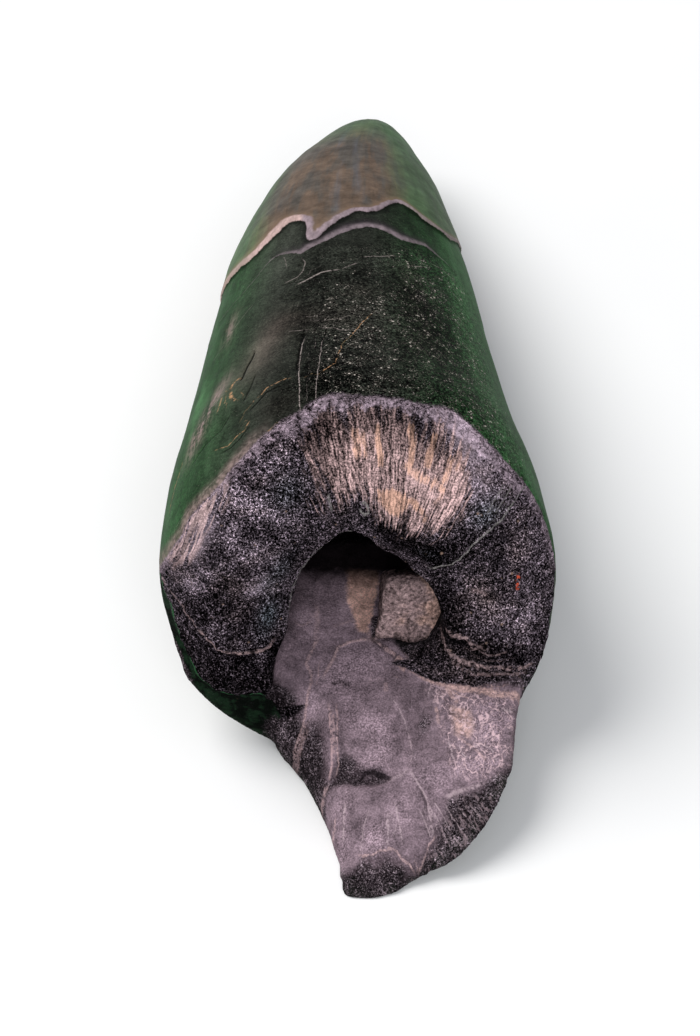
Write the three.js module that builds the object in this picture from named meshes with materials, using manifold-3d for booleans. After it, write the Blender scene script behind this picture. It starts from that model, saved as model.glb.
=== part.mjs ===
// Fossil crocodile tooth, lying on its side with its tip towards +Y.
// Millimetres, +Z up. The origin is the centre of the footprint box at the
// level of the ground the tooth lies on.
//
// The tooth is one grown piece: a blunt conical crown that runs on into a long
// root. The root is broken across, so its thick wall shows as a ring, and the
// lower part of the wall stands further forward than the rest, as a tongue.
// The pulp cavity opens through the ring, and a lump of hardened sediment sits
// inside its mouth.

import * as THREE from 'three';
import * as BufferGeometryUtils from 'three/addons/utils/BufferGeometryUtils.js';
import Module from 'manifold-3d';

// ---------------------------------------------------------------------------
// Driving dimensions (mm). Stations along the tooth are measured from the
// plane of the broken ring (0), positive towards the tip.
// ---------------------------------------------------------------------------
const TIP_Y = 49.5;              // ring plane to the tip of the crown
const SECTION_FLATNESS = 0.985;  // height of each cross-section over its width
const RING_RADIUS = 11.3;        // outer radius of the root at the break
const CAVITY_DEPTH = 28;         // ring plane to the blind end of the pulp cavity
const SEDIMENT_GAP = 0.35;       // clearance between the sediment and the wall
const BODY_SEGMENTS = 60;        // facets round the tooth
const CAVITY_SEGMENTS = 40;      // facets round the cavity

// half-width of the tooth against station
const HALF_WIDTH = [[-17, 11.2], [-14, 11.25], [0, 11.343], [6, 10.845], [12, 9.961],
  [18, 9.194], [24, 8.504], [30, 7.777], [35, 6.876], [40, 5.592], [44, 4.015], [47.5, 2.339]];
// sideways drift of the centre line (the tip leans to one side)
const CENTRE_X = [[-17, 0.37], [-14, 0.37], [0, 0.37], [15, -0.092], [25, -0.147],
  [33, -0.049], [40, 0.271], [50, 1.5], [56, 1.8]];
// height of the underside; a little below 0 where the tooth has a worn, flat strip
const UNDERSIDE_Z = [[-17, -0.28], [-14, -0.28], [30, -0.28], [35, -0.22], [40, 0.35],
  [44, 1.5], [47.5, 2.9], [50, 4.3], [54, 6.3]];

// broken ring: angle round the section (degrees, 0 = +X, 90 = up) against the
// station of its outer edge, of its most forward crest and of its inner lip,
// and the radius of the crest as a share of the ring's radius
const EDGE_Y = [[93.5, 4.45], [87, 4.4], [77, 4.45], [68, 4.4], [59, 4.5], [53, 4.4],
  [47, 4.1], [41, 3.9], [35, 3.55], [28, 3.35], [18, 3.0], [8, 2.5], [-2, 1.7], [-7, 0.7],
  [-12, -0.4], [-16, -1.2], [-22, -1.75], [-29, -2.15], [-35, -2.45], [-50, -2.4],
  [-75, -2.2], [-95, -2.5], [100, 4.2], [106.4, 3.7], [112.7, 2.9], [117, 2.2], [121, 1.5],
  [124, 1.0], [133.5, 0], [138, -0.25], [144.5, -0.9], [151, -1.0], [162, -0.2], [175, 0.5],
  [184, 0.8], [190, 0.2], [196, 0.05], [202, -0.1], [206, -1.3], [210, -1.95], [218, -2.35],
  [228, -2.65], [241, -2.95]];
const CREST_Y = [[90, -0.5], [60, -0.7], [35, -0.9], [10, -1.3], [-15, -2.0], [-35, -2.3],
  [-90, -2.2], [-120, -3.3], [-145, -3.3], [-170, -2.8], [160, -2.4], [135, -1.8], [112, -1.0]];
const CREST_SHARE = [[90, 0.56], [60, 0.56], [35, 0.6], [10, 0.66], [-20, 0.72], [-90, 0.7],
  [-135, 0.7], [180, 0.64], [150, 0.62], [120, 0.58]];
const LIP_Y = [[90, 0.2], [45, 0.1], [10, -0.2], [-25, -0.9], [-50, -0.5], [-90, -1.0],
  [-140, -2.0], [180, -1.2], [135, -0.4]];

// floor of the cavity and top of the tongue, as height against station
const FLOOR_Z = [[-14, 0.9], [-13, 1.25], [-12, 1.65], [-11, 2.15], [-10, 2.65], [-8, 3.4],
  [-6, 3.9], [-4, 4.45], [-2, 4.95], [0, 5.4], [4, 5.8], [8, 6.2], [14, 7.0], [22, 8.0], [28, 8.6]];
const DISH = 0.012;              // how strongly the floor curves up to both sides

// plan outline of the tongue: left side as x against y, front as y against x
const TONGUE_LEFT = [[-13.6, 1.0], [-13.2, 0.3], [-12.6, -0.35], [-12.1, -0.55], [-10.7, -0.85],
  [-9.3, -1.1], [-7.9, -1.65], [-6.5, -2.25], [-5.2, -3.0], [-4.0, -4.15], [-2.9, -5.2],
  [-2.5, -7.3], [-1.8, -14]];
const TONGUE_FRONT = [[-3, -13.1], [-1, -13.4], [0, -13.5], [1.1, -13.55], [2, -13.4],
  [3.5, -12.9], [5.0, -12.5], [5.9, -12.15], [6.7, -11.75], [7.3, -11.25], [7.9, -10.55],
  [8.45, -9.4], [8.9, -8.3], [9.2, -7.2], [9.5, -5.6], [9.9, -3.8], [12, -1]];

// cavity section at its mouth: angle against radius, round a point 1 mm below
// the middle of the ring, and how that section shrinks with depth
const CAVITY_SECTION = [[96, 6.1], [84.3, 5.4], [75.5, 4.65], [60, 4.22], [39.3, 4.07],
  [26, 4.3], [13, 4.48], [1, 4.63], [-13, 4.95], [-30, 4.9], [-50, 4.95], [-64, 4.9],
  [-90, 6.2], [-115, 7.0], [-133, 7.4], [-141, 6.04], [-152.4, 5.2], [-160, 4.6],
  [184.5, 3.85], [158.5, 3.8], [144, 4.2], [130.6, 4.6], [117.4, 5.13], [106, 5.8]];
const CAVITY_SCALE = [[-6, 1.06], [-1, 1.02], [1, 0.98], [5, 0.93], [10, 0.8], [16, 0.6],
  [22, 0.38], [26, 0.2], [CAVITY_DEPTH, 0.04]];
const CAVITY_X = [[-6, 0.37], [2, 0.37], [CAVITY_DEPTH, 0]];

// sediment lump: centre and half-sizes
const SEDIMENT_CENTRE = [3.65, 2.4, 8.2];
const SEDIMENT_HALF = [1.72, 2.4, 2.8];

// ---------------------------------------------------------------------------
// A smooth curve through [x, y] points that never overshoots them. With a
// period it closes on itself, for quantities given round a section.
// ---------------------------------------------------------------------------
function curve(points, period = 0) {
  let p = points.map((q) => q.slice()).sort((a, b) => a[0] - b[0]);
  if (period) {
    const lo = p.map(([x, y]) => [x - period, y]);
    const hi = p.map(([x, y]) => [x + period, y]);
    p = [...lo, ...p, ...hi];
  }
  const n = p.length;
  const h = [], d = [], m = new Array(n).fill(0);
  for (let i = 0; i < n - 1; i++) {
    h.push(p[i + 1][0] - p[i][0]);
    d.push((p[i + 1][1] - p[i][1]) / h[i]);
  }
  m[0] = d[0];
  m[n - 1] = d[n - 2];
  for (let i = 1; i < n - 1; i++) {
    if (d[i - 1] * d[i] > 0) {
      const w1 = 2 * h[i] + h[i - 1], w2 = h[i] + 2 * h[i - 1];
      m[i] = (w1 + w2) / (w1 / d[i - 1] + w2 / d[i]);
    }
  }
  const base = period ? p[n / 3][0] : 0;
  return (t) => {
    if (period) t = base + ((((t - base) % period) + period) % period);
    t = Math.min(Math.max(t, p[0][0]), p[n - 1][0]);
    let i = 0;
    while (i < n - 2 && t >= p[i + 1][0]) i++;
    const s = (t - p[i][0]) / h[i], s2 = s * s, s3 = s2 * s;
    return (2 * s3 - 3 * s2 + 1) * p[i][1] + (s3 - 2 * s2 + s) * h[i] * m[i]
      + (3 * s2 - 2 * s3) * p[i + 1][1] + (s3 - s2) * h[i] * m[i + 1];
  };
}

// the square of the half-width runs to zero at the tip, which rounds it
const halfWidthSquared = curve([...HALF_WIDTH.map(([y, a]) => [y, a * a]), [TIP_Y, 0]]);
const centreX = curve(CENTRE_X);
const undersideZ = curve(UNDERSIDE_Z);
const halfWidth = (y) => Math.sqrt(Math.max(halfWidthSquared(y), 0));
const centreZ = (y) => undersideZ(y) + SECTION_FLATNESS * halfWidth(y);
const RING_X = centreX(0);
const RING_Z = centreZ(0);

const edgeY = curve(EDGE_Y, 360);
const crestY = curve(CREST_Y, 360);
const crestShare = curve(CREST_SHARE, 360);
const lipY = curve(LIP_Y, 360);
const floorZ = curve(FLOOR_Z);
const tongueLeft = curve(TONGUE_LEFT);
const tongueFront = curve(TONGUE_FRONT);
const cavitySection = curve(CAVITY_SECTION, 360);
const cavityScale = curve(CAVITY_SCALE);
const cavityX = curve(CAVITY_X);
const cavityZ = curve([[-6, RING_Z - 1], [2, RING_Z - 1], [14, 8.9], [CAVITY_DEPTH, 8.7]]);

// station of the broken face at a point of the section
function breakY(x, z) {
  const dx = x - RING_X, dz = z - RING_Z;
  const angle = THREE.MathUtils.radToDeg(Math.atan2(dz, dx));
  const share = Math.hypot(dx, dz) / RING_RADIUS;
  const crest = crestShare(angle), yc = crestY(angle);
  if (share > crest) return yc + (edgeY(angle) - yc) * Math.pow((share - crest) / (1 - crest), 1.7);
  return yc + (lipY(angle) - yc) * Math.pow((crest - share) / (crest - 0.3), 1.6);
}

// height of the cavity floor, and of the tongue that carries it on
function floorHeight(x, y) {
  const d = x - 0.6;
  return floorZ(y) + DISH * d * d * THREE.MathUtils.clamp((y + 9) / 6, 0, 1);
}

// the tongue's top falls away to its broken left side and to its front end
function tongueHeight(x, y) {
  const fromLeft = x - tongueLeft(y), fromFront = y - tongueFront(x);
  const ahead = THREE.MathUtils.clamp((-1.5 - y) / 2, 0, 1);
  return floorHeight(x, y)
    - ahead * 1.9 * Math.pow(THREE.MathUtils.clamp(1 - fromLeft / 2.6, 0, 1.6), 1.5)
    - 0.9 * Math.pow(THREE.MathUtils.clamp(1 - fromFront / 1.6, 0, 1.5), 1.4);
}

// ---------------------------------------------------------------------------
// Geometry helpers
// ---------------------------------------------------------------------------
const wasm = await Module();
wasm.setup();

// move every vertex of a geometry and leave only shared positions
function shaped(geometry, move) {
  geometry.deleteAttribute('normal');
  geometry.deleteAttribute('uv');
  const merged = BufferGeometryUtils.mergeVertices(geometry, 1e-4);
  const p = merged.attributes.position;
  for (let i = 0; i < p.count; i++) {
    const [x, y, z] = move(p.getX(i), p.getY(i), p.getZ(i));
    p.setXYZ(i, x, y, z);
  }
  return merged;
}

// a closed solid from a geometry, with its faces turned outwards
function solid(geometry) {
  const g = BufferGeometryUtils.mergeVertices(geometry, 1e-4);
  const p = g.attributes.position.array;
  const tri = [];
  let volume = 0;
  const ix = g.index.array;
  for (let i = 0; i < ix.length; i += 3) {
    const [a, b, c] = [ix[i], ix[i + 1], ix[i + 2]];
    if (a === b || b === c || c === a) continue;
    tri.push(a, b, c);
    const A = new THREE.Vector3().fromArray(p, 3 * a);
    const B = new THREE.Vector3().fromArray(p, 3 * b);
    const C = new THREE.Vector3().fromArray(p, 3 * c);
    volume += A.dot(B.cross(C));
  }
  if (volume < 0) for (let i = 0; i < tri.length; i += 3) [tri[i], tri[i + 1]] = [tri[i + 1], tri[i]];
  return new wasm.Manifold(new wasm.Mesh({
    numProp: 3,
    vertProperties: new Float32Array(p),
    triVerts: new Uint32Array(tri),
  }));
}

function toGeometry(manifold) {
  const mesh = manifold.getMesh();
  const g = new THREE.BufferGeometry();
  g.setAttribute('position', new THREE.BufferAttribute(new Float32Array(mesh.vertProperties), 3));
  g.setIndex(new THREE.BufferAttribute(new Uint32Array(mesh.triVerts), 1));
  g.computeVertexNormals();
  return g;
}

// a block between two corners, split into cells, with its vertices moved
function block(lo, hi, cells, move) {
  const g = new THREE.BoxGeometry(hi[0] - lo[0], hi[1] - lo[1], hi[2] - lo[2], ...cells);
  g.translate((lo[0] + hi[0]) / 2, (lo[1] + hi[1]) / 2, (lo[2] + hi[2]) / 2);
  return solid(shaped(g, move));
}

// ---------------------------------------------------------------------------
// Outer body of the tooth: turned about the long axis, then every section is
// flattened a little and set at its own height and sideways drift
// ---------------------------------------------------------------------------
const stations = [-16, -14, -12.5, -11, -9.5, -8, -6.5, -5, -3.5, -2, -0.5, 1, 2.5, 4, 5.5, 7.5,
  10, 13, 16, 19, 22, 25, 28, 31, 33.5, 36, 38.2, 40.2, 42, 43.6, 45, 46.3, 47.4, 48.3, 48.9, 49.3];
const bodyProfile = [new THREE.Vector2(0, -16),
  ...stations.map((y) => new THREE.Vector2(halfWidth(y), y)), new THREE.Vector2(0, TIP_Y)];
const body = solid(shaped(new THREE.LatheGeometry(bodyProfile, BODY_SEGMENTS), (x, y, z) => [
  x + centreX(y), y, SECTION_FLATNESS * z + centreZ(y)]));

// ---------------------------------------------------------------------------
// Pulp cavity: a blind, tapering hole with an arched section and a flat floor
// ---------------------------------------------------------------------------
function cavity(inset) {
  const depths = [-6, -4, -2.5, -1.2, 0, 1.2, 2.5, 4, 6, 8.5, 11, 14, 17, 20, 22.5, 25, 27];
  const end = CAVITY_DEPTH - inset;
  const profile = [new THREE.Vector2(0, -6),
    ...depths.filter((y) => y < end - 0.5).map((y) => new THREE.Vector2(10, y)), new THREE.Vector2(0, end)];
  return solid(shaped(new THREE.LatheGeometry(profile, CAVITY_SEGMENTS), (x, y, z) => {
    const angle = THREE.MathUtils.radToDeg(Math.atan2(z, x));
    const on = Math.hypot(x, z) / 10;
    const r = on * Math.max(cavitySection(angle) * cavityScale(y) - inset, 0.05);
    const px = cavityX(y) + r * Math.cos(THREE.MathUtils.degToRad(angle));
    const pz = cavityZ(y) + r * Math.sin(THREE.MathUtils.degToRad(angle));
    return [px, y, Math.max(pz, floorHeight(px, y) + inset)];
  }));
}

// ---------------------------------------------------------------------------
// Break: everything in front of the uneven broken face is taken away, and the
// tongue is put back in front of it
// ---------------------------------------------------------------------------
const inFront = block([-13, -18, -3], [13.6, 0, 25], [38, 1, 38],
  (x, y, z) => [x, y > -9 ? breakY(x, z) : y, z]);

const outline = new THREE.Shape();
const leftSide = [-2.6, -3.1, -3.7, -4.4, -5.2, -6.2, -7.2, -8.4, -9.6, -10.8, -11.8, -12.6, -13.1]
  .map((y) => [tongueLeft(y), y]);
const frontEnd = [0.7, 1.6, 2.6, 3.6, 4.6, 5.6, 6.5, 7.2, 7.8, 8.3, 8.8, 9.2, 9.6, 10.2, 11.5]
  .map((x) => [x, tongueFront(x)]);
outline.moveTo(-5.2, 1.5);
for (const [x, y] of [...leftSide, ...frontEnd]) outline.lineTo(x, y);
outline.lineTo(11.5, 1.5);
outline.closePath();
const plan = solid(shaped(new THREE.ExtrudeGeometry(outline, { depth: 14, bevelEnabled: false }),
  (x, y, z) => [x, y, z - 3]));
const underTop = block([-9, -14.5, -3], [12.5, 2, 3], [24, 24, 1],
  (x, y, z) => [x, y, z > 0 ? tongueHeight(x, y) : z]);
const tongue = body.intersect(plan).intersect(underTop);

const ground = block([-30, -30, -8], [30, 70, 0], [1, 1, 1], (x, y, z) => [x, y, z]);

const toothSolid = body.subtract(inFront).add(tongue).subtract(cavity(0)).subtract(ground);

// ---------------------------------------------------------------------------
// Sediment lump inside the mouth of the cavity, clear of the wall and floor
// ---------------------------------------------------------------------------
const lump = solid(shaped(new THREE.SphereGeometry(1, 22, 14), (x, y, z) => {
  const bump = 1 + 0.06 * Math.sin(5 * x + 2 * z) + 0.05 * Math.sin(4 * y - 3 * z + 1);
  // a squarish ball, with an upright left side
  const k = bump / Math.pow(Math.abs(x) ** 3.2 + Math.abs(y) ** 3.2 + Math.abs(z) ** 3.2, 1 / 3.2);
  return [SEDIMENT_CENTRE[0] + SEDIMENT_HALF[0] * x * k,
    SEDIMENT_CENTRE[1] + SEDIMENT_HALF[1] * y * k + 0.28 * (z * k * SEDIMENT_HALF[2]),
    SEDIMENT_CENTRE[2] + SEDIMENT_HALF[2] * z * k];
}));
const sedimentSolid = lump.intersect(cavity(SEDIMENT_GAP));

// ---------------------------------------------------------------------------
// Assembly, moved so that the origin is the middle of the footprint
// ---------------------------------------------------------------------------
const toothGeometry = toGeometry(toothSolid);
toothGeometry.computeBoundingBox();
const box = toothGeometry.boundingBox;
const toOrigin = new THREE.Vector3(-(box.min.x + box.max.x) / 2, -(box.min.y + box.max.y) / 2, -box.min.z);

const tooth = new THREE.Mesh(toothGeometry,
  new THREE.MeshStandardMaterial({ color: 0x2b2d26, roughness: 0.42, metalness: 0 }));
tooth.name = 'tooth';
const sediment = new THREE.Mesh(toGeometry(sedimentSolid),
  new THREE.MeshStandardMaterial({ color: 0x6d5b50, roughness: 0.95, metalness: 0 }));
sediment.name = 'sediment_lump';

const fossil = new THREE.Group();
fossil.add(tooth, sediment);
fossil.position.copy(toOrigin);

export default fossil;
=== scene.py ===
import math
import bpy
import numpy as np
from mathutils import Matrix, Vector


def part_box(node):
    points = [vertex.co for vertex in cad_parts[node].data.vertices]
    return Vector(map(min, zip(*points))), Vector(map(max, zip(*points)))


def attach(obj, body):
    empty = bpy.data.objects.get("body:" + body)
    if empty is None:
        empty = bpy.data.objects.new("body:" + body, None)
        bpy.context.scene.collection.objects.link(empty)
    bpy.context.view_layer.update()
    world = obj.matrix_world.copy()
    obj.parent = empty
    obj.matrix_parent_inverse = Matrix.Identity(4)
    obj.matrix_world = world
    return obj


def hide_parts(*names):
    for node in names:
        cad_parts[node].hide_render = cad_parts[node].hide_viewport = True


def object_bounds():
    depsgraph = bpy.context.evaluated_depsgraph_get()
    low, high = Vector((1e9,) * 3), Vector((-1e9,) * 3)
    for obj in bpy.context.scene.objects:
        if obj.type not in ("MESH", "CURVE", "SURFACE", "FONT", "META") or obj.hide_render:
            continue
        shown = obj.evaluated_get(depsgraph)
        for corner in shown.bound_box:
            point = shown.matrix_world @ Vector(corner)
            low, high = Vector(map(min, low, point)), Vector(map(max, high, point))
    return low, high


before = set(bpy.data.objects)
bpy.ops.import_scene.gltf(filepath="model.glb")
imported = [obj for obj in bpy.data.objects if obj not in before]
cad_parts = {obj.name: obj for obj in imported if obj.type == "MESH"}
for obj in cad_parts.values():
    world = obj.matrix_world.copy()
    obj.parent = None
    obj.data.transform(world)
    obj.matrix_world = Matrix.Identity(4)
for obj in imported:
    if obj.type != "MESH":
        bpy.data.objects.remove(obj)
CAD_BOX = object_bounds()

# The tooth is worked out in millimetres in a frame whose y is the station along
# the tooth (0 at the broken ring, positive to the tip) and whose z is height.
LOW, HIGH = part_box("tooth")
SHIFT = np.array([LOW[0] * 1000 + 10.959, LOW[1] * 1000 + 13.259, LOW[2] * 1000])


def to_metres(p):
    return (np.asarray(p, float) + SHIFT) * 0.001


def lin(r, g, b, k=1.0):
    """An sRGB colour given in 0 to 255, as linear RGBA."""
    def one(c):
        c = c / 255.0
        return (c / 12.92 if c <= 0.04045 else ((c + 0.055) / 1.055) ** 2.4) * k
    return (one(r), one(g), one(b), 1.0)


# --------------------------------------------------------------------------
# curves, smooth joins and noise
# --------------------------------------------------------------------------
def curve(pts, period=None):
    p = np.array(sorted(pts), float)
    if period:
        p = np.vstack([p - [period, 0], p, p + [period, 0]])
    x, y = p[:, 0], p[:, 1]
    h = np.diff(x)
    d = np.diff(y) / h
    m = np.zeros_like(y)
    m[0], m[-1] = d[0], d[-1]
    for i in range(1, len(y) - 1):
        if d[i - 1] * d[i] > 0:
            w1, w2 = 2 * h[i] + h[i - 1], h[i] + 2 * h[i - 1]
            m[i] = (w1 + w2) / (w1 / d[i - 1] + w2 / d[i])
    start = x[len(x) // 3]

    def f(t):
        t = np.asarray(t, float)
        if period:
            t = np.mod(t - start, period) + start
        t = np.clip(t, x[0], x[-1])
        i = np.clip(np.searchsorted(x, t, side="right") - 1, 0, len(x) - 2)
        hh = h[i]
        s = (t - x[i]) / hh
        s2 = s * s
        s3 = s2 * s
        return ((2 * s3 - 3 * s2 + 1) * y[i] + (s3 - 2 * s2 + s) * hh * m[i]
                + (3 * s2 - 2 * s3) * y[i + 1] + (s3 - s2) * hh * m[i + 1])
    return f


def smin(a, b, k):
    h = np.maximum(k - np.abs(a - b), 0) / k
    return np.minimum(a, b) - h * h * k * 0.25


def smax(a, b, k):
    return -smin(-a, -b, k)


def step(x, a, b):
    t = np.clip((x - a) / (b - a), 0, 1)
    return t * t * (3 - 2 * t)


_rng = np.random.RandomState(20261)
_perm = np.tile(_rng.permutation(256), 2)
_g = _rng.normal(size=(256, 3))
_g /= np.linalg.norm(_g, axis=1)[:, None]


def perlin(p, seed=0):
    """Gradient noise at the rows of p, about -0.7 to 0.7."""
    p = p + np.array([17.3, 91.7, 33.1]) * (seed + 1)
    i = np.floor(p).astype(np.int64)
    f = p - i
    u = f * f * f * (f * (f * 6 - 15) + 10)
    i &= 255
    out = 0
    for a in (0, 1):
        for b in (0, 1):
            for c in (0, 1):
                h = _perm[_perm[_perm[(i[:, 0] + a) & 255] + ((i[:, 1] + b) & 255)] + ((i[:, 2] + c) & 255)]
                g = _g[h]
                v = g[:, 0] * (f[:, 0] - a) + g[:, 1] * (f[:, 1] - b) + g[:, 2] * (f[:, 2] - c)
                wx = u[:, 0] if a else 1 - u[:, 0]
                wy = u[:, 1] if b else 1 - u[:, 1]
                wz = u[:, 2] if c else 1 - u[:, 2]
                out = out + v * wx * wy * wz
    return out


def fbm(p, octaves=3, seed=0, gain=0.5):
    out, amp = 0, 1.0
    for k in range(octaves):
        out = out + amp * perlin(p * 2.03 ** k, seed + k * 7)
        amp *= gain
    return out


# --------------------------------------------------------------------------
# distance to drawn lines and outlines in a plane
# --------------------------------------------------------------------------
def to_line(u, v, pts, closed=False):
    """Signed distance to a polyline (positive on the left of its direction), and
    the share of its length at the nearest place."""
    u, v = np.broadcast_arrays(u, v)
    p = np.array(pts, float)
    if closed:
        p = np.vstack([p, p[:1]])
    seg = np.diff(p, axis=0)
    ln = np.hypot(seg[:, 0], seg[:, 1])
    at = np.concatenate([[0], np.cumsum(ln)])
    best = np.full(np.shape(u), 1e9)
    sign = np.ones(np.shape(u))
    share = np.zeros(np.shape(u))
    for k in range(len(seg)):
        du, dv = u - p[k, 0], v - p[k, 1]
        t = np.clip((du * seg[k, 0] + dv * seg[k, 1]) / max(ln[k] ** 2, 1e-12), 0, 1)
        eu, ev = du - t * seg[k, 0], dv - t * seg[k, 1]
        d = eu * eu + ev * ev
        m = d < best
        best = np.where(m, d, best)
        sign = np.where(m, np.where(seg[k, 0] * dv - seg[k, 1] * du >= 0, 1.0, -1.0), sign)
        share = np.where(m, (at[k] + t * ln[k]) / at[-1], share)
    return np.sqrt(best) * sign, share


def inside(u, v, pts):
    u, v = np.broadcast_arrays(u, v)
    p = np.array(pts, float)
    q = np.roll(p, -1, axis=0)
    odd = np.zeros(np.shape(u), bool)
    for (x0, y0), (x1, y1) in zip(p, q):
        if y0 == y1:
            continue
        m = (v < y0) != (v < y1)
        odd ^= m & (u < (x1 - x0) * (v - y0) / (y1 - y0) + x0)
    return odd


def outline(u, v, pts):
    """Signed distance to a closed outline, positive inside."""
    d, _ = to_line(u, v, pts, True)
    return np.where(inside(u, v, pts), 1.0, -1.0) * np.abs(d)


# --------------------------------------------------------------------------
# the tooth's shape
# --------------------------------------------------------------------------
TIP_Y = 49.5
FLAT = 0.985
HALF = [(-14, 11.15), (0, 11.36), (6, 10.96), (12, 10.06), (18, 9.27), (24, 8.53),
        (30, 7.74), (35, 6.82), (40, 5.55), (44, 3.98), (47.5, 2.25)]
half_sq = curve([(y, a * a) for y, a in HALF] + [(TIP_Y, 0.0), (TIP_Y + 4, -12.0)])
centre_x = curve([(-14, .30), (0, .40), (15, .0), (25, -.09), (33, -.0), (40, .33), (50, 1.5), (56, 1.8)])
under_z = curve([(-14, -.28), (30, -.28), (35, -.22), (40, .35), (44, 1.5), (47.5, 2.9), (50, 4.3), (54, 6.3)])
X0 = 0.45
Z0 = float(under_z(0) + FLAT * np.sqrt(half_sq(0)))

edge_y = curve([(99.4, 4.5), (92, 4.3), (85.4, 4.35), (78.8, 4.35), (72, 4.35), (66.6, 4.55), (60.8, 4.7), (54.9, 4.25),
    (49.6, 3.6), (43.1, 2.85), (37.6, 2.4), (30.3, 2.2), (22.9, 1.95), (16, 1.5), (8, 1.0), (-2, .2), (-7, -.4),
    (-12, -1.1), (-16, -1.7), (-22, -2.3), (-29, -2.85), (-35, -3.2), (-50, -3.1), (-75, -2.6), (-95, -2.5),
    (103, 4.1), (106.8, 3.4), (111.2, 2.9), (115.6, 2.35), (121.2, 1.5), (127, .5), (132.8, -.35), (140.2, -.85),
    (146.6, -1.1), (150.1, -1.6), (154.8, -1.7), (158.6, -1.6), (166, -1.0), (175, -.3), (184, .1), (190, -.1), (196, -.4),
    (202, -.8), (206, -1.7), (210, -2.3), (218, -2.8), (228, -3.1), (241, -3.2)], 360)
crest_y = curve([(90, -.5), (60, -.7), (35, -.9), (10, -1.3), (-15, -2.0), (-28, -2.5), (-36, -2.75), (-43, -2.4), (-50, -1.95), (-57, -1.45),
    (-63, -1.0), (-75, -.7), (-90, -1.6), (-120, -3.3), (-145, -3.3), (-170, -2.8), (160, -2.4), (135, -1.8), (112, -1.0)], 360)
crest_r = curve([(90, .56), (60, .56), (35, .6), (10, .66), (-20, .72), (-90, .7), (-135, .7), (180, .64),
    (150, .62), (120, .58)], 360)
lip_y = curve([(90, .2), (45, .1), (10, -.2), (-25, -.9), (-40, -1.2), (-50, -1.0), (-63, -.5), (-90, -1.0), (-140, -2.0), (180, -1.2),
    (135, -.4)], 360)
floor_z = curve([(-14, .9), (-13, 1.25), (-12, 1.65), (-11, 2.15), (-10, 2.65), (-8, 3.4), (-6, 3.9), (-4, 4.45),
    (-2, 4.95), (0, 5.4), (4, 5.8), (8, 6.2), (14, 7.0), (22, 8.0), (28, 8.6)])
left_x = curve([(-14.3, -.1), (-13.9, -.32), (-13.5, -.44), (-13.0, -.52), (-12.4, -.60), (-11.6, -.68), (-10.7, -.82), (-9.3, -1.12), (-7.9, -1.6),
    (-6.5, -2.15), (-5.2, -2.85), (-4.0, -3.9), (-2.9, -4.9), (-2.5, -7.3), (-1.8, -14)])
front_y = curve([(-3, -13.6), (-1, -13.9), (0, -13.95), (1.1, -13.85), (2, -13.55), (2.6, -13.3), (3.1, -12.95), (3.7, -12.65), (4.6, -12.3),
    (5.5, -12.15), (6.3, -11.9), (7.0, -11.55), (7.6, -11.05), (8.2, -10.25), (8.8, -9.05), (9.15, -7.9), (9.35, -5.6),
    (9.6, -3.8), (10.6, -1)])
hole_r = curve([(96, 5.72), (84.3, 5.0), (75.5, 4.3), (60, 3.9), (39.3, 3.85), (26, 4.15), (13, 4.4), (1, 4.6),
    (-13, 4.95), (-30, 4.9), (-50, 4.95), (-64, 4.9), (-90, 6.2), (-115, 7.0), (-133, 7.4), (-141, 6.04),
    (-152.4, 5.2), (-160, 4.6), (184.5, 3.85), (158.5, 3.8), (144, 4.15), (130.6, 4.45), (117.4, 4.9), (106, 5.45)], 360)
hole_s = curve([(-6, 1.06), (-1, 1.02), (1, .98), (5, .93), (10, .8), (16, .6), (22, .38), (26, .2), (28, .0), (32, -.4)])
hole_x = curve([(-6, X0), (2, X0), (28, .0)])
hole_z = curve([(-6, Z0 - 1), (2, Z0 - 1), (14, 8.9), (28, 8.4)])

# cracks and steps on the broken ring, as x and z seen from the front
CRACK_R = [(4.23, 13.15), (5.11, 13.81), (5.74, 14.01), (6.48, 14.91), (7.24, 15.57), (7.88, 15.86), (8.39, 16.03), (8.91, 16.46), (9.43, 16.83), (9.9, 17.2)]
CRACK_L = [(-9.94, 11.41), (-9.54, 11.18), (-8.65, 10.15), (-8.2, 9.54), (-7.47, 8.88), (-6.38, 8.72), (-5.16, 8.79), (-4.43, 8.94), (-4.05, 9.2)]
STEP_1 = [(4.6, 9.1), (5.05, 9.07), (5.85, 9.01), (6.56, 8.86), (6.87, 8.46), (7.6, 8.3)]
STEP_2 = [(4.4, 9.0), (5.06, 8.44), (5.67, 7.82), (6.49, 7.49), (7.3, 7.3), (8.32, 7.16), (9.34, 7.07), (10.6, 6.83)]
STEP_3 = [(5.3, 8.0), (5.9, 7.1), (6.8, 6.6), (7.9, 6.4), (9.2, 6.35), (10.2, 6.3)]


def shifted(pts, off):
    """The polyline moved off to its left."""
    p = np.array(pts, float)
    t = np.gradient(p, axis=0)
    t /= np.hypot(t[:, 0], t[:, 1])[:, None]
    return [tuple(q) for q in p + off * np.stack([-t[:, 1], t[:, 0]], 1)]


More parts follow.
